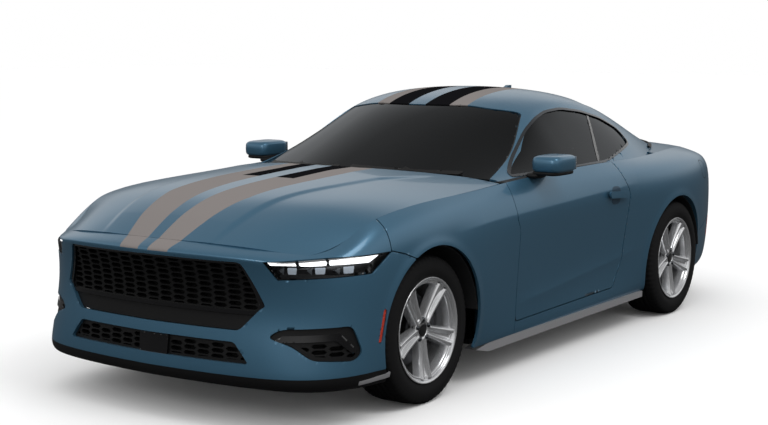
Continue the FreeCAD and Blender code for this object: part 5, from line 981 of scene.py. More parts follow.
def skin(name, surface, field, material, body="body", depth=-0.0015, rim=None, step=None, mirror=False,
         us=(0, 1), vs=(0, 1), rim_material=None):
    """The part of a surface that a field holds, P - depth * n, with a rim of -rim * n turned inwards."""
    rim = chosen("panel_rim") if rim is None else rim
    step = chosen("mesh_step") if step is None else step
    points, normal, groups = clipped(surface, *window(surface, field, us, vs, step), field)
    points = points - normal * depth
    walls = 0
    if rim:
        wall = rim_of(points, groups, -rim * normal)
        walls = len(wall[1][0])
        points, groups = joined([(points, groups), wall])
    if mirror:
        points, groups = flipped(points, groups)
    made = add_mesh(name, points, groups, material, body)
    if rim_material:
        made.data.materials.append(rim_material)
        faces = np.zeros(len(made.data.polygons), np.int32)
        faces[-walls:] = 1
        made.data.polygons.foreach_set("material_index", faces)
    return made


def both_skins(name, surface, field, material, body="body", **facts):
    """A skin on the left and its mirror image on the right, each on its own side's body if it has sides."""
    made = []
    for end in SIDES:
        rides = body + end if body.endswith("_") else body
        made.append(skin(name + "_" + end, surface, field, material, rides, mirror=end == "right", **facts))
    return made


# Parts of the surfaces to search: the bumper, the nose with its lamps, the side windows and the doors
FRONT_WRAP, NOSE_WRAP, NOSE_LEFT, LAMPS_LEFT = (-0.36, 0.36), (-0.3, 0.3), (0, 0.4), (0, 0.45)
REAR_LEFT, FLANK = (0.7, 1.0), (0.4, 0.95)
WINDOWS_LEFT = (0, 0.5)


def build_body():
    """The painted skins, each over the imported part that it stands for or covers."""
    nose = skin("front_bumper_skin", side, bumper_field, PAINT, us=FRONT_WRAP, rim=0.022, step=0.008)
    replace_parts(nose, "front_bumper")
    lip = skin("front_lip_skin", side, lip_field, TRIM, us=FRONT_WRAP, vs=(0, 0.35))
    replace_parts(lip, "front_lip")
    for end, wing in zip(SIDES, both_skins("fender_skin", side, fender_field, PAINT, us=(0.15, 0.6))):
        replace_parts(wing, "fender_" + end)
    both_skins("door_skin", side, door_field, PAINT, "door_", us=(0.4, 0.72))
    both_skins("quarter_skin", side, quarter_field, PAINT, us=(0.4, 0.99))
    tail = skin("rear_bumper_skin", side, tail_field, PAINT, us=(0.6, 1.4))
    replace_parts(tail, "rear_bumper")
    hood = skin("hood_skin", hood_surface, hood_field, PAINT, "hood", step=0.010)
    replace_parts(hood, "hood")
    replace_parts(skin("deck_skin", deck_surface, deck_field, PAINT, rim=0.010), "deck_panel")
    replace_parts(skin("decklid_skin", deck_surface, decklid_field, PAINT, "decklid"), "decklid")
    roof = skin("roof_skin", cabin_surface, roof_field, PAINT, rim=0.010, step=0.011)
    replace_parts(roof, "roof_panel")


# Panes: the gap at their edge, the half width of the divider, and how deep glass and borders lie
PANE_GAP, SIDE_PANE_GAP, DIVIDER_GAP, DIVIDER_HALF = 0.002, 0.003, 0.006, 0.011
PANE_DEPTH, SIDE_PANE_DEPTH, SEAL_DEPTH = 0.003, 0.004, 0.006


def build_glass():
    """The panes, their black borders and the dark chrome strip round the side windows."""
    for name, node_name, area, inner in (("windscreen", "windscreen", screen_area, 0.028),
                                         ("rear_window", "rear_window", rear_area, 0.035)):
        pane = skin(name + "_pane", cabin_surface, lambda p: area(p) - PANE_GAP, GLASS,
                    depth=PANE_DEPTH, rim=0, step=0.02)
        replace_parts(pane, node_name)
        skin(name + "_border", cabin_surface, border_field(area, 0.006, inner), GLOSS_BLACK,
             depth=SIDE_PANE_DEPTH, rim=0, step=0.012)

    def door_pane(points):
        return np.minimum(side_area(points) - SIDE_PANE_GAP, ahead_of(points, DIVIDER) - DIVIDER_GAP)

    def quarter_pane(points):
        return np.minimum(side_area(points) - SIDE_PANE_GAP, -ahead_of(points, DIVIDER) - DIVIDER_GAP)

    def divider(points):
        across = DIVIDER_HALF - np.abs(ahead_of(points, DIVIDER))
        return np.minimum(side_area(points) - SIDE_PANE_GAP, across)

    half = {"vs": WINDOWS_LEFT}
    glass = {"vs": WINDOWS_LEFT, "depth": SIDE_PANE_DEPTH, "rim": 0, "step": 0.015}
    for end, pane in zip(SIDES, both_skins("door_pane", cabin_surface, door_pane, GLASS, "door_", **glass)):
        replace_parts(pane, "door_glass_" + end)
    for pane in both_skins("quarter_pane", cabin_surface, quarter_pane, GLASS, **glass):
        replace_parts(pane, "quarter_glass")
    both_skins("window_divider", cabin_surface, divider, GLOSS_BLACK, "door_", depth=0.002, rim=0.004,
               step=0.006, **half)
    both_skins("window_seal", cabin_surface, border_field(side_area, 0.004, 0.022), TRIM,
               depth=SEAL_DEPTH, rim=0, step=0.008, **half)
    both_skins("window_strip", cabin_surface, border_field(side_area, 0.006, 0.006), DARK_CHROME,
               depth=-0.004, rim=0.006, step=0.005, **half)


def build_nose():
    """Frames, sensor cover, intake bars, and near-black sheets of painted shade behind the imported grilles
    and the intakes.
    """
    # Painted shade: dark sheets 50 to 55 mm behind the grilles and intakes make the openings read as deep
    # holes
    for name, shape in (("grille_painted_shade", GRILLE), ("lower_grille_painted_shade", LOWER)):
        skin(name, side, lambda p: front_only(p, signed(mirrored_view(p), shape) + 0.012), SHADE_BLACK,
             us=NOSE_WRAP, depth=0.055, rim=0, step=0.02)
    both_skins("intake_painted_shade", side, lambda p: intake_field(p) + 0.01, SHADE_BLACK, us=NOSE_LEFT, depth=0.050,
               rim=0, step=0.02)
    skin("grille_frame", side,
         lambda p: front_only(p, 0.009 - np.abs(signed(mirrored_view(p), GRILLE_TOP) - 0.004)),
         GLOSS_BLACK, us=NOSE_WRAP, depth=0.006, rim=0.016, step=0.005)
    skin("sensor_cover", side, shape_field(rounded(SENSOR, 0.012), front_view), GLOSS_BLACK,
         us=NOSE_WRAP, depth=0.004, rim=0.020, step=0.006)
    both_skins("intake_bar", side, shape_field(INTAKE_BAR, corner_view), GLOSS_BLACK, us=NOSE_LEFT,
               depth=0.003, rim=0.012, step=0.005)


# What lies in a headlamp: name, outlines, how rounded, materials of face and rim, depth, rim, step
LAMP_INSIDES = [("day_light", DAY_BARS, 0.004, WHITE_LIGHT, GREY_LAMP, 0.012, 0.014, 0.004),
                ("projector", PROJECTORS, 0.004, PROJECTOR, GREY_LAMP, 0.014, 0.030, 0.003),
                ("lamp_fin", FINS, 0, GREY_LAMP, None, 0.016, 0.026, 0.003)]


def build_lamps():
    """The headlamps: a clear lens, a black housing with light guides and projectors, and black bezels round
    the tail lamps.
    """
    def inside(points):
        return lamp_field(points) - 0.002

    for piece in both_skins("headlamp_lens", side, inside, CLEAR, us=LAMPS_LEFT, depth=0.001, rim=0.045,
                            rim_material=GLOSS_BLACK):
        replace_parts(piece, "headlamps")
    for piece in both_skins("headlamp_housing", side, inside, GLOSS_BLACK, us=LAMPS_LEFT, depth=0.046,
                            rim=0):
        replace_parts(piece, "lamp_housings")
    for name, shapes, radius, face, edge, depth, rim, step in LAMP_INSIDES:
        for number, shape in enumerate(shapes, 1):
            outline = rounded(shape, radius) if radius else shape
            both_skins("%s_%d" % (name, number), side, shape_field(outline, corner_view), face,
                       us=LAMPS_LEFT, depth=depth, rim=rim, step=step, rim_material=edge)
    both_skins("tail_lamp_bezel", side, tail_lamp_field, GLOSS_BLACK, us=(0.6, 1.0), depth=0.016, rim=0,
               step=0.008)


# Wipers in front view: name, ends, half width and height over the glass
WIPERS = [("wiper_blade_1", (0.62, 0.990), (0.06, 1.010), 0.007, 0.014),
          ("wiper_blade_2", (-0.02, 1.006), (-0.56, 0.992), 0.007, 0.014),
          ("wiper_arm_1", (0.50, 0.955), (0.36, 1.000), 0.009, 0.022),
          ("wiper_arm_2", (-0.14, 0.960), (-0.28, 1.000), 0.009, 0.022)]


def build_trim():
    """Door handles with painted shade in their dishes, the fuel flap's gap as a line of painted shade,
    reflectors, lip ends and wipers.
    """
    def behind_nose(points):
        return points[:, 0] < FRONT_PIECES

    # Painted shade: a flat patch of darker paint, raised 2 mm off the door, stands for the shade in the
    # handle's dish
    both_skins("door_handle_dish", side, shape_field(rounded(HANDLE_DISH_SHADE, 0.04), side_view, behind_nose),
               SHADED_PAINT, "door_", us=FLANK, depth=-0.002, rim=0, step=0.004)
    for piece in both_skins("door_handle", side, shape_field(rounded(HANDLE, 0.018), side_view, behind_nose),
                            PAINT, "door_", us=FLANK, depth=-0.026, rim=0.012, step=0.004):
        piece.modifiers.new("Soft edge", "BEVEL").width = 0.004
    # Painted shade: a dark line 3.6 mm wide, raised 2 mm off the quarter, stands for the shade in the fuel
    # flap's gap
    skin("fuel_flap_shade_line", side, strip_field(rounded(FUEL_FLAP, 0.04), 0.0018, side_view), SHADE_BLACK,
         us=REAR_LEFT, depth=-0.002, rim=0, step=0.003)
    reflector = shape_field(rounded(REAR_MARKER, 0.006), side_view, lambda p: p[:, 0] < REAR_MARKERS)
    both_skins("rear_reflector", side, reflector, AMBER, us=REAR_LEFT, depth=-0.003, rim=0.004, step=0.004)
    both_skins("lip_end", side, shape_field(LIP_END, side_view), SILVER, us=(0.1, 0.4), depth=-0.004,
               rim=0.006, step=0.004)
    for name, a, b, half, height in WIPERS:
        skin(name, cabin_surface, segment_field(a, b, half, front_view), TRIM, depth=-height, rim=0.008,
             step=0.004)


PAD_ROWS, PAD_COLUMNS = 15, 29


def pad(centre, half, power=4.0, lean=0.0):
    """A superellipsoid |x/a|^n + |y/b|^n + |z/c|^n = 1 over two angles, leaned about the width axis."""
    theta = np.linspace(-math.pi / 2, math.pi / 2, PAD_ROWS)[:, None]
    phi = np.linspace(-math.pi, math.pi, PAD_COLUMNS)[None, :]

    def bend(value):
        return np.sign(value) * np.abs(value) ** (2 / power)

    x = half[0] * bend(np.cos(theta)) * bend(np.cos(phi))
    y = half[1] * bend(np.cos(theta)) * bend(np.sin(phi))
    z = half[2] * bend(np.sin(theta)) * np.ones_like(phi)
    c, s = math.cos(lean), math.sin(lean)
    return sheet(np.stack([centre[0] + c * x - s * z, centre[1] + y, centre[2] + s * x + c * z], -1))


# Front seat's pads: along, off the seat's middle, up, then half sizes. Cushion and bolsters lie flat,
# the back and its bolsters lean, and the head rest leans a little less
SEAT_ACROSS = 0.37
CUSHION_PADS = [(-0.14, 0, 0.345, (0.25, 0.21, 0.075)), (-0.12, 0.21, 0.375, (0.24, 0.05, 0.075)),
                (-0.12, -0.21, 0.375, (0.24, 0.05, 0.075))]
BACK_PADS = [(-0.42, 0, 0.66, (0.065, 0.20, 0.31)), (-0.395, 0.20, 0.64, (0.085, 0.05, 0.28)),
             (-0.395, -0.20, 0.64, (0.085, 0.05, 0.28))]
HEAD_PADS = [(-0.535, 0, 1.045, (0.05, 0.125, 0.085))]
HEAD_LEAN, BENCH_LEAN = 0.25, 0.2
BENCH_ACROSS = 0.29
BENCH_SEAT, BENCH_SEAT_HALF = (-0.77, 0.465), (0.20, 0.25, 0.055)
BENCH_BACK, BENCH_BACK_HALF = (-0.89, 0.69), (0.07, 0.25, 0.18)


def soft(name, parts, node_name):
    """Pads as one padded piece with a soft form, in the place of a packed seat."""
    piece = add_mesh(name, *joined(parts), CLOTH)
    piece.modifiers.new("Soft form", "SUBSURF").render_levels = 1
    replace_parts(piece, node_name)


def build_cabin():
    """Padded seats, then what belongs to the dash."""
    leans = ((CUSHION_PADS, 0.0), (BACK_PADS, chosen("seat_lean")), (HEAD_PADS, HEAD_LEAN))
    for end, across in (("left", SEAT_ACROSS), ("right", -SEAT_ACROSS)):
        parts = [pad((along, across + off, up), half, lean=lean)
                 for pads, lean in leans for along, off, up, half in pads]
        soft("seat_padding_" + end, parts, "front_seats")
    parts = []
    for across in (BENCH_ACROSS, -BENCH_ACROSS):
        parts += [pad((BENCH_SEAT[0], across, BENCH_SEAT[1]), BENCH_SEAT_HALF),
                  pad((BENCH_BACK[0], across, BENCH_BACK[1]), BENCH_BACK_HALF, lean=BENCH_LEAN)]
    soft("rear_seat_padding", parts, "rear_seat")
    build_dash()


# Steering wheel: the column's direction and the wheel's centre, its ring, its boss and its arms
COLUMN_RISE, COLUMN_RUN = 0.374607, 0.927184
WHEEL_CENTRE = (0.19, 0.37, 0.88)
RING_RADIUS, GRIP_RADIUS = 0.172, 0.015
BOSS_PROFILE = [(0.030, 0.0), (0.026, 0.045), (0.004, 0.060), (-0.030, 0.050)]
ARM_LOW, ARM_HIGH = (-0.020, -0.006, 0.040), (0.020, 0.012, 0.165)
ARM_ANGLES = (math.radians(80), math.radians(-80), math.pi)
RING_ROUND, GRIP_ROUND, BOSS_ROUND = 60, 12, 32
# Pads by centre, half sizes and power, a block by two corners, and a tube by its path
INSTRUMENT_HOOD = ((0.40, 0.37, 0.945), (0.15, 0.20, 0.045), 3.0)
DASH_SCREEN = ((0.285, -0.135, 0.80), (0.300, 0.135, 0.93))
INSIDE_MIRROR = ((0.30, 0.0, 1.185), (0.014, 0.115, 0.032), 3.0)
MIRROR_STEM, STEM_RADIUS = [(0.30, 0.0, 1.20), (0.33, 0.0, 1.225), (0.345, 0.0, 1.245)], 0.007


def build_dash():
    """The steering wheel about its own axis, the instrument hood, the middle screen and the mirror inside."""
    lean = math.atan2(COLUMN_RISE, COLUMN_RUN)
    c, s = math.cos(lean), math.sin(lean)

    def lay(points):
        """From a wheel about the width axis to one about the column: (s z - c y, x, s y + c z) + centre."""
        x, y, z = points[..., 0], points[..., 1], points[..., 2]
        return np.stack([-c * y + s * z, x, s * y + c * z], -1) + np.array(WHEEL_CENTRE)

    turn = np.linspace(0, math.tau, GRIP_ROUND + 1)[:-1]
    grip = [(GRIP_RADIUS * math.sin(a), RING_RADIUS + GRIP_RADIUS * math.cos(a)) for a in turn]
    parts = [revolved(grip + grip[:1], RING_ROUND), revolved(BOSS_PROFILE, BOSS_ROUND)]
    for angle in ARM_ANGLES:
        arm, groups = block(ARM_LOW, ARM_HIGH)
        parts.append((turned(arm, angle), groups))
    parts = [(lay(points), groups) for points, groups in parts]
    wheel = add_mesh("steering_wheel_leather", *joined(parts), DASH, "steering_wheel")
    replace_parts(wheel, "steering_wheel")
    add_mesh("instrument_hood", *pad(*INSTRUMENT_HOOD), DASH)
    add_mesh("dash_screen", *block(*DASH_SCREEN), SCREEN_GLASS, smooth=False, bevel=0.004)
    add_mesh("inside_mirror", *joined([pad(*INSIDE_MIRROR), tube(MIRROR_STEM, STEM_RADIUS)]), TRIM)


# Outside mirror: cap, base and foot as pads, and the glass as a block, on the left
MIRROR_POWER = 4.5
CAP_PAD = ((0.372, 0.952, 1.038), (0.118, 0.084, 0.046), MIRROR_POWER)
BASE_PADS = [((0.370, 0.945, 0.992), (0.112, 0.078, 0.013), MIRROR_POWER),
             ((0.430, 0.880, 0.978), (0.060, 0.040, 0.016), 3.0)]
MIRROR_GLASS = ((0.2520, 0.886, 1.004), (0.2545, 1.018, 1.070))


def build_mirrors():
    """Painted caps over a black base and foot, with the glass let into the back of each cap."""
    for end in SIDES:
        body = "door_" + end

        def fit(parts):
            return joined(parts) if end == "left" else flipped(*joined(parts))

        cap = add_mesh("mirror_cap_" + end, *fit([pad(*CAP_PAD)]), PAINT, body)
        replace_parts(cap, "mirror_" + end)
        add_mesh("mirror_base_" + end, *fit([pad(*facts) for facts in BASE_PADS]), TRIM, body)
        add_mesh("mirror_glass_" + end, *fit([block(*MIRROR_GLASS)]), CHROME, body, smooth=False)


# Wheels. One spoke: inner and outer radius, half width and face at the hub with what they gain outwards
SPOKE_INNER, SPOKE_OUTER = 0.046, 0.2265
SPOKE_HALF, SPOKE_HALF_GAIN, SPOKE_FACE, SPOKE_FACE_GAIN = 0.030, 0.019, 0.080, 0.016
# Height of the ridges with their place and width, depth of the groove with its width, fall of the flanks
RIDGE, RIDGE_AT, RIDGE_WIDTH = 0.010, 0.60, 0.20
GROOVE, GROOVE_WIDTH = 0.012, 0.26
FLANK_FALL, FLANK_AT = 0.040, 0.84
SPOKE_ROWS, SPOKE_COLUMNS = 30, 41


def spoke_grid():
    """One spoke pointing up, over its length s and width t.

    Its face rises by a ridge h e^-((|t| - a) / w)^4 on each side, and falls by a groove g e^-(t / w)^4
    in the middle and by k ((|t| - f) / (1 - f))^1.4 on the flanks.
    """
    s = np.linspace(0, 1, SPOKE_ROWS)
    t = np.linspace(-1, 1, SPOKE_COLUMNS)
    radius = SPOKE_INNER + s * (SPOKE_OUTER - SPOKE_INNER)
    half = SPOKE_HALF + SPOKE_HALF_GAIN * s ** 1.3
    face = SPOKE_FACE + SPOKE_FACE_GAIN * s ** 2
    ridges = RIDGE * np.exp(-((np.abs(t) - RIDGE_AT) / RIDGE_WIDTH) ** 4)
    groove = -GROOVE * np.exp(-(t / GROOVE_WIDTH) ** 4)
    fall = -FLANK_FALL * np.clip((np.abs(t) - FLANK_AT) / (1 - FLANK_AT), 0, 1) ** 1.4
    depth = (ridges[None, :] * (0.3 + 0.7 * s[:, None])
             + groove[None, :] * np.sin(math.pi * s[:, None]) ** 0.5 + fall)
    x = half[:, None] * t[None, :]
    z = np.sqrt(np.maximum(radius[:, None] ** 2 - x ** 2, 0.001))
    return np.stack([x, face[:, None] + depth, z], -1)


def turned(points, angle):
    """Turned about the width axis: (c x + s z, y, c z - s x)."""
    c, s = math.cos(angle), math.sin(angle)
    x, z = points[..., 0], points[..., 2]
    return np.stack([c * x + s * z, points[..., 1], -s * x + c * z], -1)


# Profiles about the wheel's axis: across, radius
RIM_PROFILE = [(0.050, 0.2120), (0.080, 0.2160), (0.0930, 0.2190), (0.0955, 0.2230), (0.0935, 0.2270),
               (0.0940, 0.2300), (0.1010, 0.2325), (0.1070, 0.2350), (0.1100, 0.2395), (0.1120, 0.2440),
               (0.1120, 0.2462), (0.1080, 0.2470), (0.1050, 0.2450), (0.1050, 0.2360)]
BARREL_PROFILE = [(0.1050, 0.2360), (0.060, 0.2220), (-0.060, 0.2220), (-0.1050, 0.2360),
                  (-0.1050, 0.2460), (-0.1120, 0.2460), (-0.1120, 0.2390), (-0.060, 0.2150),
                  (0.060, 0.2150)]
HUB_PROFILE = [(0.044, 0.058), (0.072, 0.062), (0.0770, 0.060), (0.0790, 0.054), (0.0780, 0.036),
               (0.0740, 0.0345), (0.064, 0.034)]
CAP_PROFILE = [(0.064, 0.0335), (0.076, 0.033), (0.0785, 0.030), (0.080, 0.020), (0.0805, 0.0)]
NUT_PROFILE = [(0.055, 0.0125), (0.078, 0.0125), (0.085, 0.010), (0.088, 0.0)]
TYRE_PROFILE = [(0.1045, 0.2362), (0.1048, 0.2480), (0.1085, 0.2560), (0.1150, 0.2700), (0.1172, 0.2860),
                (0.1165, 0.2980), (0.1140, 0.3100), (0.1110, 0.3190), (0.1080, 0.3290), (0.1020, 0.3370),
                (0.0950, 0.3415), (0.0800, 0.3436), (0.0600, 0.3446), (0.0560, 0.3446), (0.0555, 0.3380),
                (0.0465, 0.3380), (0.0460, 0.3449), (0.0200, 0.3450), (0.0195, 0.3380), (0.0105, 0.3380),
                (0.0100, 0.3450)]
STUD_CIRCLE = 0.048
# Steps round each of them
RIM_ROUND, BARREL_ROUND, HUB_ROUND, CAP_ROUND, NUT_ROUND = 120, 72, 60, 40, 12
# Cuts between the shoulder blocks: every third step round, outside a width and a radius, and how deep
CUT_EVERY, CUT_WIDE, CUT_RADIUS, CUT_DEPTH = 3, 0.057, 0.325, 0.005
FRONT_TRACK_HALF, REAR_TRACK_HALF = 0.791, 0.824
WHEEL_PLACES = {"front_left": (FRONT_AXLE, FRONT_TRACK_HALF), "front_right": (FRONT_AXLE, -FRONT_TRACK_HALF),
                "rear_left": (REAR_AXLE, REAR_TRACK_HALF), "rear_right": (REAR_AXLE, -REAR_TRACK_HALF)}


def tyre_mesh():
    """The profile both ways round, with blocks cut into the shoulders by a square wave of the angle."""
    half = np.array(TYRE_PROFILE)
    profile = np.concatenate([half, half[::-1] * [-1, 1]])
    count = CUT_EVERY * bpy.context.scene.car.tyre_blocks
    points, groups = revolved(profile, count)
    grid = points.reshape(count, len(profile), 3)
    radius = np.hypot(grid[..., 0], grid[..., 2])
    between = (np.arange(count) % CUT_EVERY == 0)[:, None]
    cut = (between & (np.abs(grid[..., 1]) > CUT_WIDE) & (radius > CUT_RADIUS)) * CUT_DEPTH
    keep = (radius - cut) / radius
    grid[..., 0] *= keep
    grid[..., 2] *= keep
    return grid.reshape(-1, 3), groups


def rim_mesh():
    """The lip, the barrel, the hub and the spokes, the first pointing down."""
    parts = [revolved(RIM_PROFILE, RIM_ROUND), revolved(BARREL_PROFILE, BARREL_ROUND),
             revolved(HUB_PROFILE, HUB_ROUND)]
    count = bpy.context.scene.car.spokes
    for turn in range(count):
        parts.append(sheet(turned(spoke_grid(), math.pi + turn * math.tau / count)))
    return joined(parts)


def nuts_mesh():
    """A nut between each two spokes, each a round profile moved out to the stud circle."""
    parts = []
    count = bpy.context.scene.car.spokes
    for turn in range(count):
        points, groups = revolved(NUT_PROFILE, NUT_ROUND)
        out = points + np.array([0, 0, STUD_CIRCLE])
        parts.append((turned(out, math.pi + (turn + 0.5) * math.tau / count), groups))
    return joined(parts)


def build_wheels():
    """Bright rims with double-ridged spokes, dark nuts and caps, and tyres with tread."""
    for place, (along, across) in WHEEL_PLACES.items():
        centre = np.array([along, across, AXLE_UP])
        body = "wheel_" + place

        def fit(mesh):
            points, groups = mesh
            if across < 0:
                return points * MIRROR + centre, groups
            return points + centre, [g[:, ::-1] for g in groups]

        rim = add_mesh("rim_face_" + place, *fit(rim_mesh()), CHROME, body)
        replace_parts(rim, "rim_" + place)
        tyre = add_mesh("tyre_tread_" + place, *fit(tyre_mesh()), RUBBER, body)
        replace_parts(tyre, "tyre_" + place)
        add_mesh("lug_nuts_" + place, *fit(nuts_mesh()), DARK_CHROME, body)
        add_mesh("hub_cap_" + place, *fit(revolved(CAP_PROFILE, CAP_ROUND)), GLOSS_BLACK, body)


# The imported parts' finishes; any part that isn't named here has the body's paint
CAD_LOOKS = [
    (UNDER, ["floor_tub", "wheel_liners"]),
    (ENGINE, ["engine"]),
    (STEEL, ["exhaust"]),
    (IRON, ["front_suspension", "rear_suspension"]),
    (CALIPER, ["knuckle_left", "knuckle_right"]),
    (TRIM, ["cowl_panel", "wipers", "grilles", "door_left", "door_right", "front_lip", "rear_diffuser"]),
    (DASH, ["dashboard", "steering_column", "steering_wheel"]),
    (CLOTH, ["front_seats", "rear_seat"]),
    (SILVER, ["side_skirts"]),
    (GLOSS_BLACK, ["headlamps", "lamp_housings"]),
    (RED_LENS, ["tail_lamps"]),
    (AMBER, ["side_markers"]),
    (GLASS, ["windscreen", "rear_window", "quarter_glass", "door_glass_left", "door_glass_right"]),
]


def dress_parts():
    """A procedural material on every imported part."""
    looks = {name: material for material, names in CAD_LOOKS for name in names}
    for name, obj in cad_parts.items():
        material = IRON if name.startswith("brake_disc") else looks.get(name, PAINT)
        obj.data.materials.clear()
        obj.data.materials.append(material)


def colour_finishes():
    """The panel's colours and glow, each to the input of the node that takes it."""
    panel = bpy.context.scene.car
    tint = [part * GLASS_CLEAR for part in panel.glass_tint[:3]] + [1]
    for material, place, socket, value in (
            (PAINT, "Flakes", "Color1", panel.paint_dark),
            (PAINT, "Flakes", "Color2", panel.paint_light),
            (PAINT, "Stripes", "Color1", panel.stripe_grey),
            (PAINT, "Stripes", "Color2", panel.stripe_black),
            (GLASS, "Tint", "Color", tint),
            (SILVER, "Finish", "Base Color", panel.skirts),
            (CLOTH, "Finish", "Base Color", panel.seats),
            (WHITE_LIGHT, "Finish", "Emission Strength", panel.lamp_glow)):
        material.node_tree.nodes[place].inputs[socket].default_value = value


# The studio: what gloss sees by height of its direction, the even light, the floor and the lamps
ROOM = [(-1.0, 0.05), (0.0, 0.08), (0.06, 0.12), (0.20, 0.75), (0.42, 0.90), (0.65, 0.40), (1.0, 0.35)]
EVEN_LIGHT = 1.05
WHITE = (1, 1, 1, 1)
FLOOR_HALF = 60.0
# Name, place, aim, size in metres, power in watts
LAMPS = [("Key light", (2.0, 5.0, 7.0), (0.3, 0.0, 0.6), 3.0, 150.0),
         ("Nose light", (8.5, 1.0, 4.0), (1.8, 0.0, 0.6), 2.0, 60.0)]
# The photo's camera: lens and sensor in millimetres, its aim, and where it stands from there
LENS, SENSOR_WIDTH = 67.73, 36.0
CLIP_END = 200
CAMERA_AIM = (-0.39589, -0.64106, 0.6)
AZIMUTH, ELEVATION, DISTANCE = 0.6044141806841312, 0.1195147375976001, 8.99957971637709


def for_eyes(tree):
    """1 on rays that the camera sends, straight or through glass: the greater of both."""
    rays = node(tree, "ShaderNodeLightPath").outputs
    return node(tree, "ShaderNodeMath", {0: rays["Is Camera Ray"], 1: rays["Is Transmission Ray"]},
                operation="MAXIMUM").outputs[0]


def build_world():
    """White to the camera, a room with a bright ceiling to gloss, and even light to all else."""
    world = bpy.data.worlds.new("Soft studio")
    bpy.context.scene.world = world
    world.use_nodes = True
    tree = world.node_tree
    tree.nodes.clear()
    way = node(tree, "ShaderNodeTexCoord").outputs["Generated"]
    up = node(tree, "ShaderNodeSeparateXYZ", {"Vector": way}).outputs["Z"]
    room = node(tree, "ShaderNodeBackground", {"Color": curve_of(tree, up, ROOM)})
    even = node(tree, "ShaderNodeBackground", {"Color": WHITE, "Strength": EVEN_LIGHT})
    white = node(tree, "ShaderNodeBackground", {"Color": WHITE, "Strength": 1.0})
    glossy = node(tree, "ShaderNodeLightPath").outputs["Is Glossy Ray"]
    gloss = node(tree, "ShaderNodeMixShader", {
        0: glossy, 1: even.outputs["Background"], 2: room.outputs["Background"]})
    seen = node(tree, "ShaderNodeMixShader", {
        0: for_eyes(tree), 1: gloss.outputs["Shader"], 2: white.outputs["Background"]})
    node(tree, "ShaderNodeOutputWorld", {"Surface": seen.outputs["Shader"]})


def studio_floor():
    """White with the car's shadow to the camera, and dark to the light that the car gets from below."""
    material, tree = blank("Pale studio floor")
    pale = node(tree, "ShaderNodeBsdfDiffuse", {"Color": linear("#fafafa")})
    dark = node(tree, "ShaderNodeBsdfDiffuse", {"Color": linear("#4c4c4c")})
    seen = node(tree, "ShaderNodeMixShader", {
        0: for_eyes(tree), 1: dark.outputs["BSDF"], 2: pale.outputs["BSDF"]})
    finish(tree, seen.outputs["Shader"])
    return material


def stand(name, data, place, way):
    """A lamp or camera at a place, turned to look along a direction."""
    made = bpy.data.objects.new(name, data)
    bpy.context.scene.collection.objects.link(made)
    made.location = place
    made.rotation_mode = "QUATERNION"
    made.rotation_quaternion = way.to_track_quat("-Z", "Y")
    return made


def build_stage():
    """Floor, world, lights and the camera at the photo's viewing angle."""
    scene = bpy.context.scene
    corners = [(-FLOOR_HALF, -FLOOR_HALF, 0), (FLOOR_HALF, -FLOOR_HALF, 0), (FLOOR_HALF, FLOOR_HALF, 0),
               (-FLOOR_HALF, FLOOR_HALF, 0)]
    floor = add_mesh("floor", corners, [np.array([[0, 1, 2, 3]])], studio_floor(), None)
    build_world()
    for name, place, aim, size, power in LAMPS:
        data = bpy.data.lights.new(name, "AREA")
        data.size = size
        data.energy = power
        stand(name, data, place, Vector(aim) - Vector(place))
    data = bpy.data.cameras.new("Photo camera")
    data.lens = LENS
    data.sensor_width = SENSOR_WIDTH
    data.clip_end = CLIP_END
    back = Vector((math.cos(ELEVATION) * math.cos(AZIMUTH), math.cos(ELEVATION) * math.sin(AZIMUTH),
                   math.sin(ELEVATION)))
    scene.camera = stand("Photo camera", data, Vector(CAMERA_AIM) + back * DISTANCE, -back)
    scene.view_settings.view_transform = "Standard"


def size_of(name, description, default, low, high, **facts):
    """A size on the panel, a length in metres unless it says otherwise."""
    return bpy.props.FloatProperty(name=name, description=description, default=default, min=low, max=high,
                                   precision=4, **(facts or {"unit": "LENGTH"}))


def colour_of(name, description, code):
    """A colour on the panel, from its hex code."""
    return bpy.props.FloatVectorProperty(name=name, description=description, default=linear(code),
                                         subtype="COLOR", size=4, min=0, max=1)


class CarSettings(bpy.types.PropertyGroup):
    """The sizes and colours that a user would change."""
    shut_line: size_of("Shut line", "Half the gap between two panels", 0.0025, 0.0005, 0.01)
    panel_rim: size_of("Panel rim", "How far a panel's edge turns inwards", 0.014, 0.002, 0.05)
    mesh_step: size_of("Mesh step", "Distance between a panel's grid lines", 0.009, 0.004, 0.05)
    seat_lean: size_of("Seat lean", "How far the front seats' backs lean", 0.32, 0.0, 0.8,
                       subtype="ANGLE")
    lamp_glow: size_of("Lamp glow", "Strength of the light guides, where 1 is white", LAMP_GLOW, 0.0, 10.0,
                       subtype="FACTOR")
    spokes: bpy.props.IntProperty(name="Spokes", description="Spokes and nuts of each rim",
                                  default=5, min=3, max=12)
    tyre_blocks: bpy.props.IntProperty(name="Tyre blocks", description="Blocks round each tyre's shoulder",
                                       default=70, min=20, max=120)
    paint_light: colour_of("Paint, light", "Light flakes of the body's paint", PAINT_LIGHT)
    paint_dark: colour_of("Paint, dark", "Ground of the body's paint", PAINT_DARK)
    stripe_grey: colour_of("Stripe, grey", "Front part of the stripes and their edges", STRIPE_GREY)
    stripe_black: colour_of("Stripe, black", "Stripes behind their front part", STRIPE_BLACK)
    glass_tint: colour_of("Glass tint", "Tint of all windows", GLASS_TINT)
    skirts: colour_of("Skirts", "Paint of the side skirts and lip ends", SKIRT_SILVER)
    seats: colour_of("Seats", "Cloth of all seats", SEAT_BLACK)
    with_cabin: bpy.props.BoolProperty(name="Cabin", description="Fit out the cabin", default=True)
    with_stage: bpy.props.BoolProperty(name="Stage", description="Set floor, lights and camera",
                                       default=True)


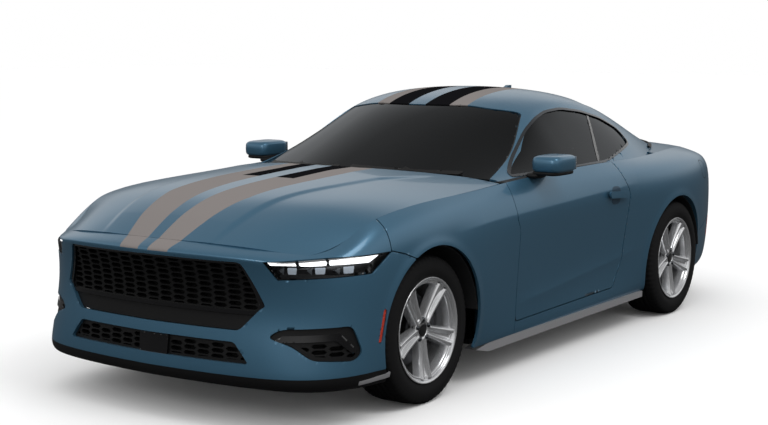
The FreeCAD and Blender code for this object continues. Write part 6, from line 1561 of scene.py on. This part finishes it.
class Step(bpy.types.Operator):
    """What every step shares: it runs its work, and an error in that stops the script."""
    work = None

    def execute(self, context):
        type(self).work()
        return {"FINISHED"}


class CAR_OT_colours(Step):
    """Put the panel's colours on the finishes"""
    bl_idname = "car.colours"
    bl_label = "Colours"
    work = colour_finishes


class CAR_OT_parts(Step):
    """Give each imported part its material"""
    bl_idname = "car.parts"
    bl_label = "Dress the packed parts"
    work = dress_parts


class CAR_OT_body(Step):
    """Lay the painted skins over the body"""
    bl_idname = "car.body"
    bl_label = "Painted body"
    work = build_body


class CAR_OT_glass(Step):
    """Set the window panes and their borders"""
    bl_idname = "car.glass"
    bl_label = "Window glass"
    work = build_glass


class CAR_OT_nose(Step):
    """Fit the grille frames and linings"""
    bl_idname = "car.nose"
    bl_label = "Grilles and intakes"
    work = build_nose


class CAR_OT_lamps(Step):
    """Fit the lenses, housings and light guides"""
    bl_idname = "car.lamps"
    bl_label = "Lamps"
    work = build_lamps


class CAR_OT_trim(Step):
    """Fit handles, reflectors and wipers"""
    bl_idname = "car.trim"
    bl_label = "Trim"
    work = build_trim


class CAR_OT_mirrors(Step):
    """Fit the outside mirrors"""
    bl_idname = "car.mirrors"
    bl_label = "Mirrors"
    work = build_mirrors


class CAR_OT_wheels(Step):
    """Make the rims, tyres, nuts and caps"""
    bl_idname = "car.wheels"
    bl_label = "Wheels"
    work = build_wheels


class CAR_OT_cabin(Step):
    """Pad the seats and fit out the dash"""
    bl_idname = "car.cabin"
    bl_label = "Cabin"
    work = build_cabin


class CAR_OT_stage(Step):
    """Set the floor, the lights and the camera"""
    bl_idname = "car.stage"
    bl_label = "Stage"
    work = build_stage


STEPS = (CAR_OT_colours, CAR_OT_parts, CAR_OT_body, CAR_OT_glass, CAR_OT_nose, CAR_OT_lamps, CAR_OT_trim,
         CAR_OT_mirrors, CAR_OT_wheels, CAR_OT_cabin, CAR_OT_stage)


class VIEW3D_PT_car(bpy.types.Panel):
    """The sizes and colours, then one button for each step."""
    bl_label = "Muscle car"
    bl_space_type = "VIEW_3D"
    bl_region_type = "UI"
    bl_category = "Car"

    def draw(self, context):
        for setting in CarSettings.__annotations__:
            self.layout.prop(context.scene.car, setting)
        for step in STEPS:
            self.layout.operator(step.bl_idname)


def register():
    """Make the settings, the steps and the panel known to Blender."""
    for kind in (CarSettings,) + STEPS + (VIEW3D_PT_car,):
        bpy.utils.register_class(kind)
    bpy.types.Scene.car = bpy.props.PointerProperty(type=CarSettings)


def unregister():
    """Undo what register did, in reverse order."""
    del bpy.types.Scene.car
    for kind in (VIEW3D_PT_car,) + STEPS[::-1] + (CarSettings,):
        bpy.utils.unregister_class(kind)


def main():
    """Run every wanted step in order."""
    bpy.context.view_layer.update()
    register()
    for step in STEPS:
        name = step.bl_idname.partition(".")[2]
        if getattr(bpy.context.scene.car, "with_" + name, True):
            getattr(bpy.ops.car, name)()


if __name__ == "__main__":
    main()
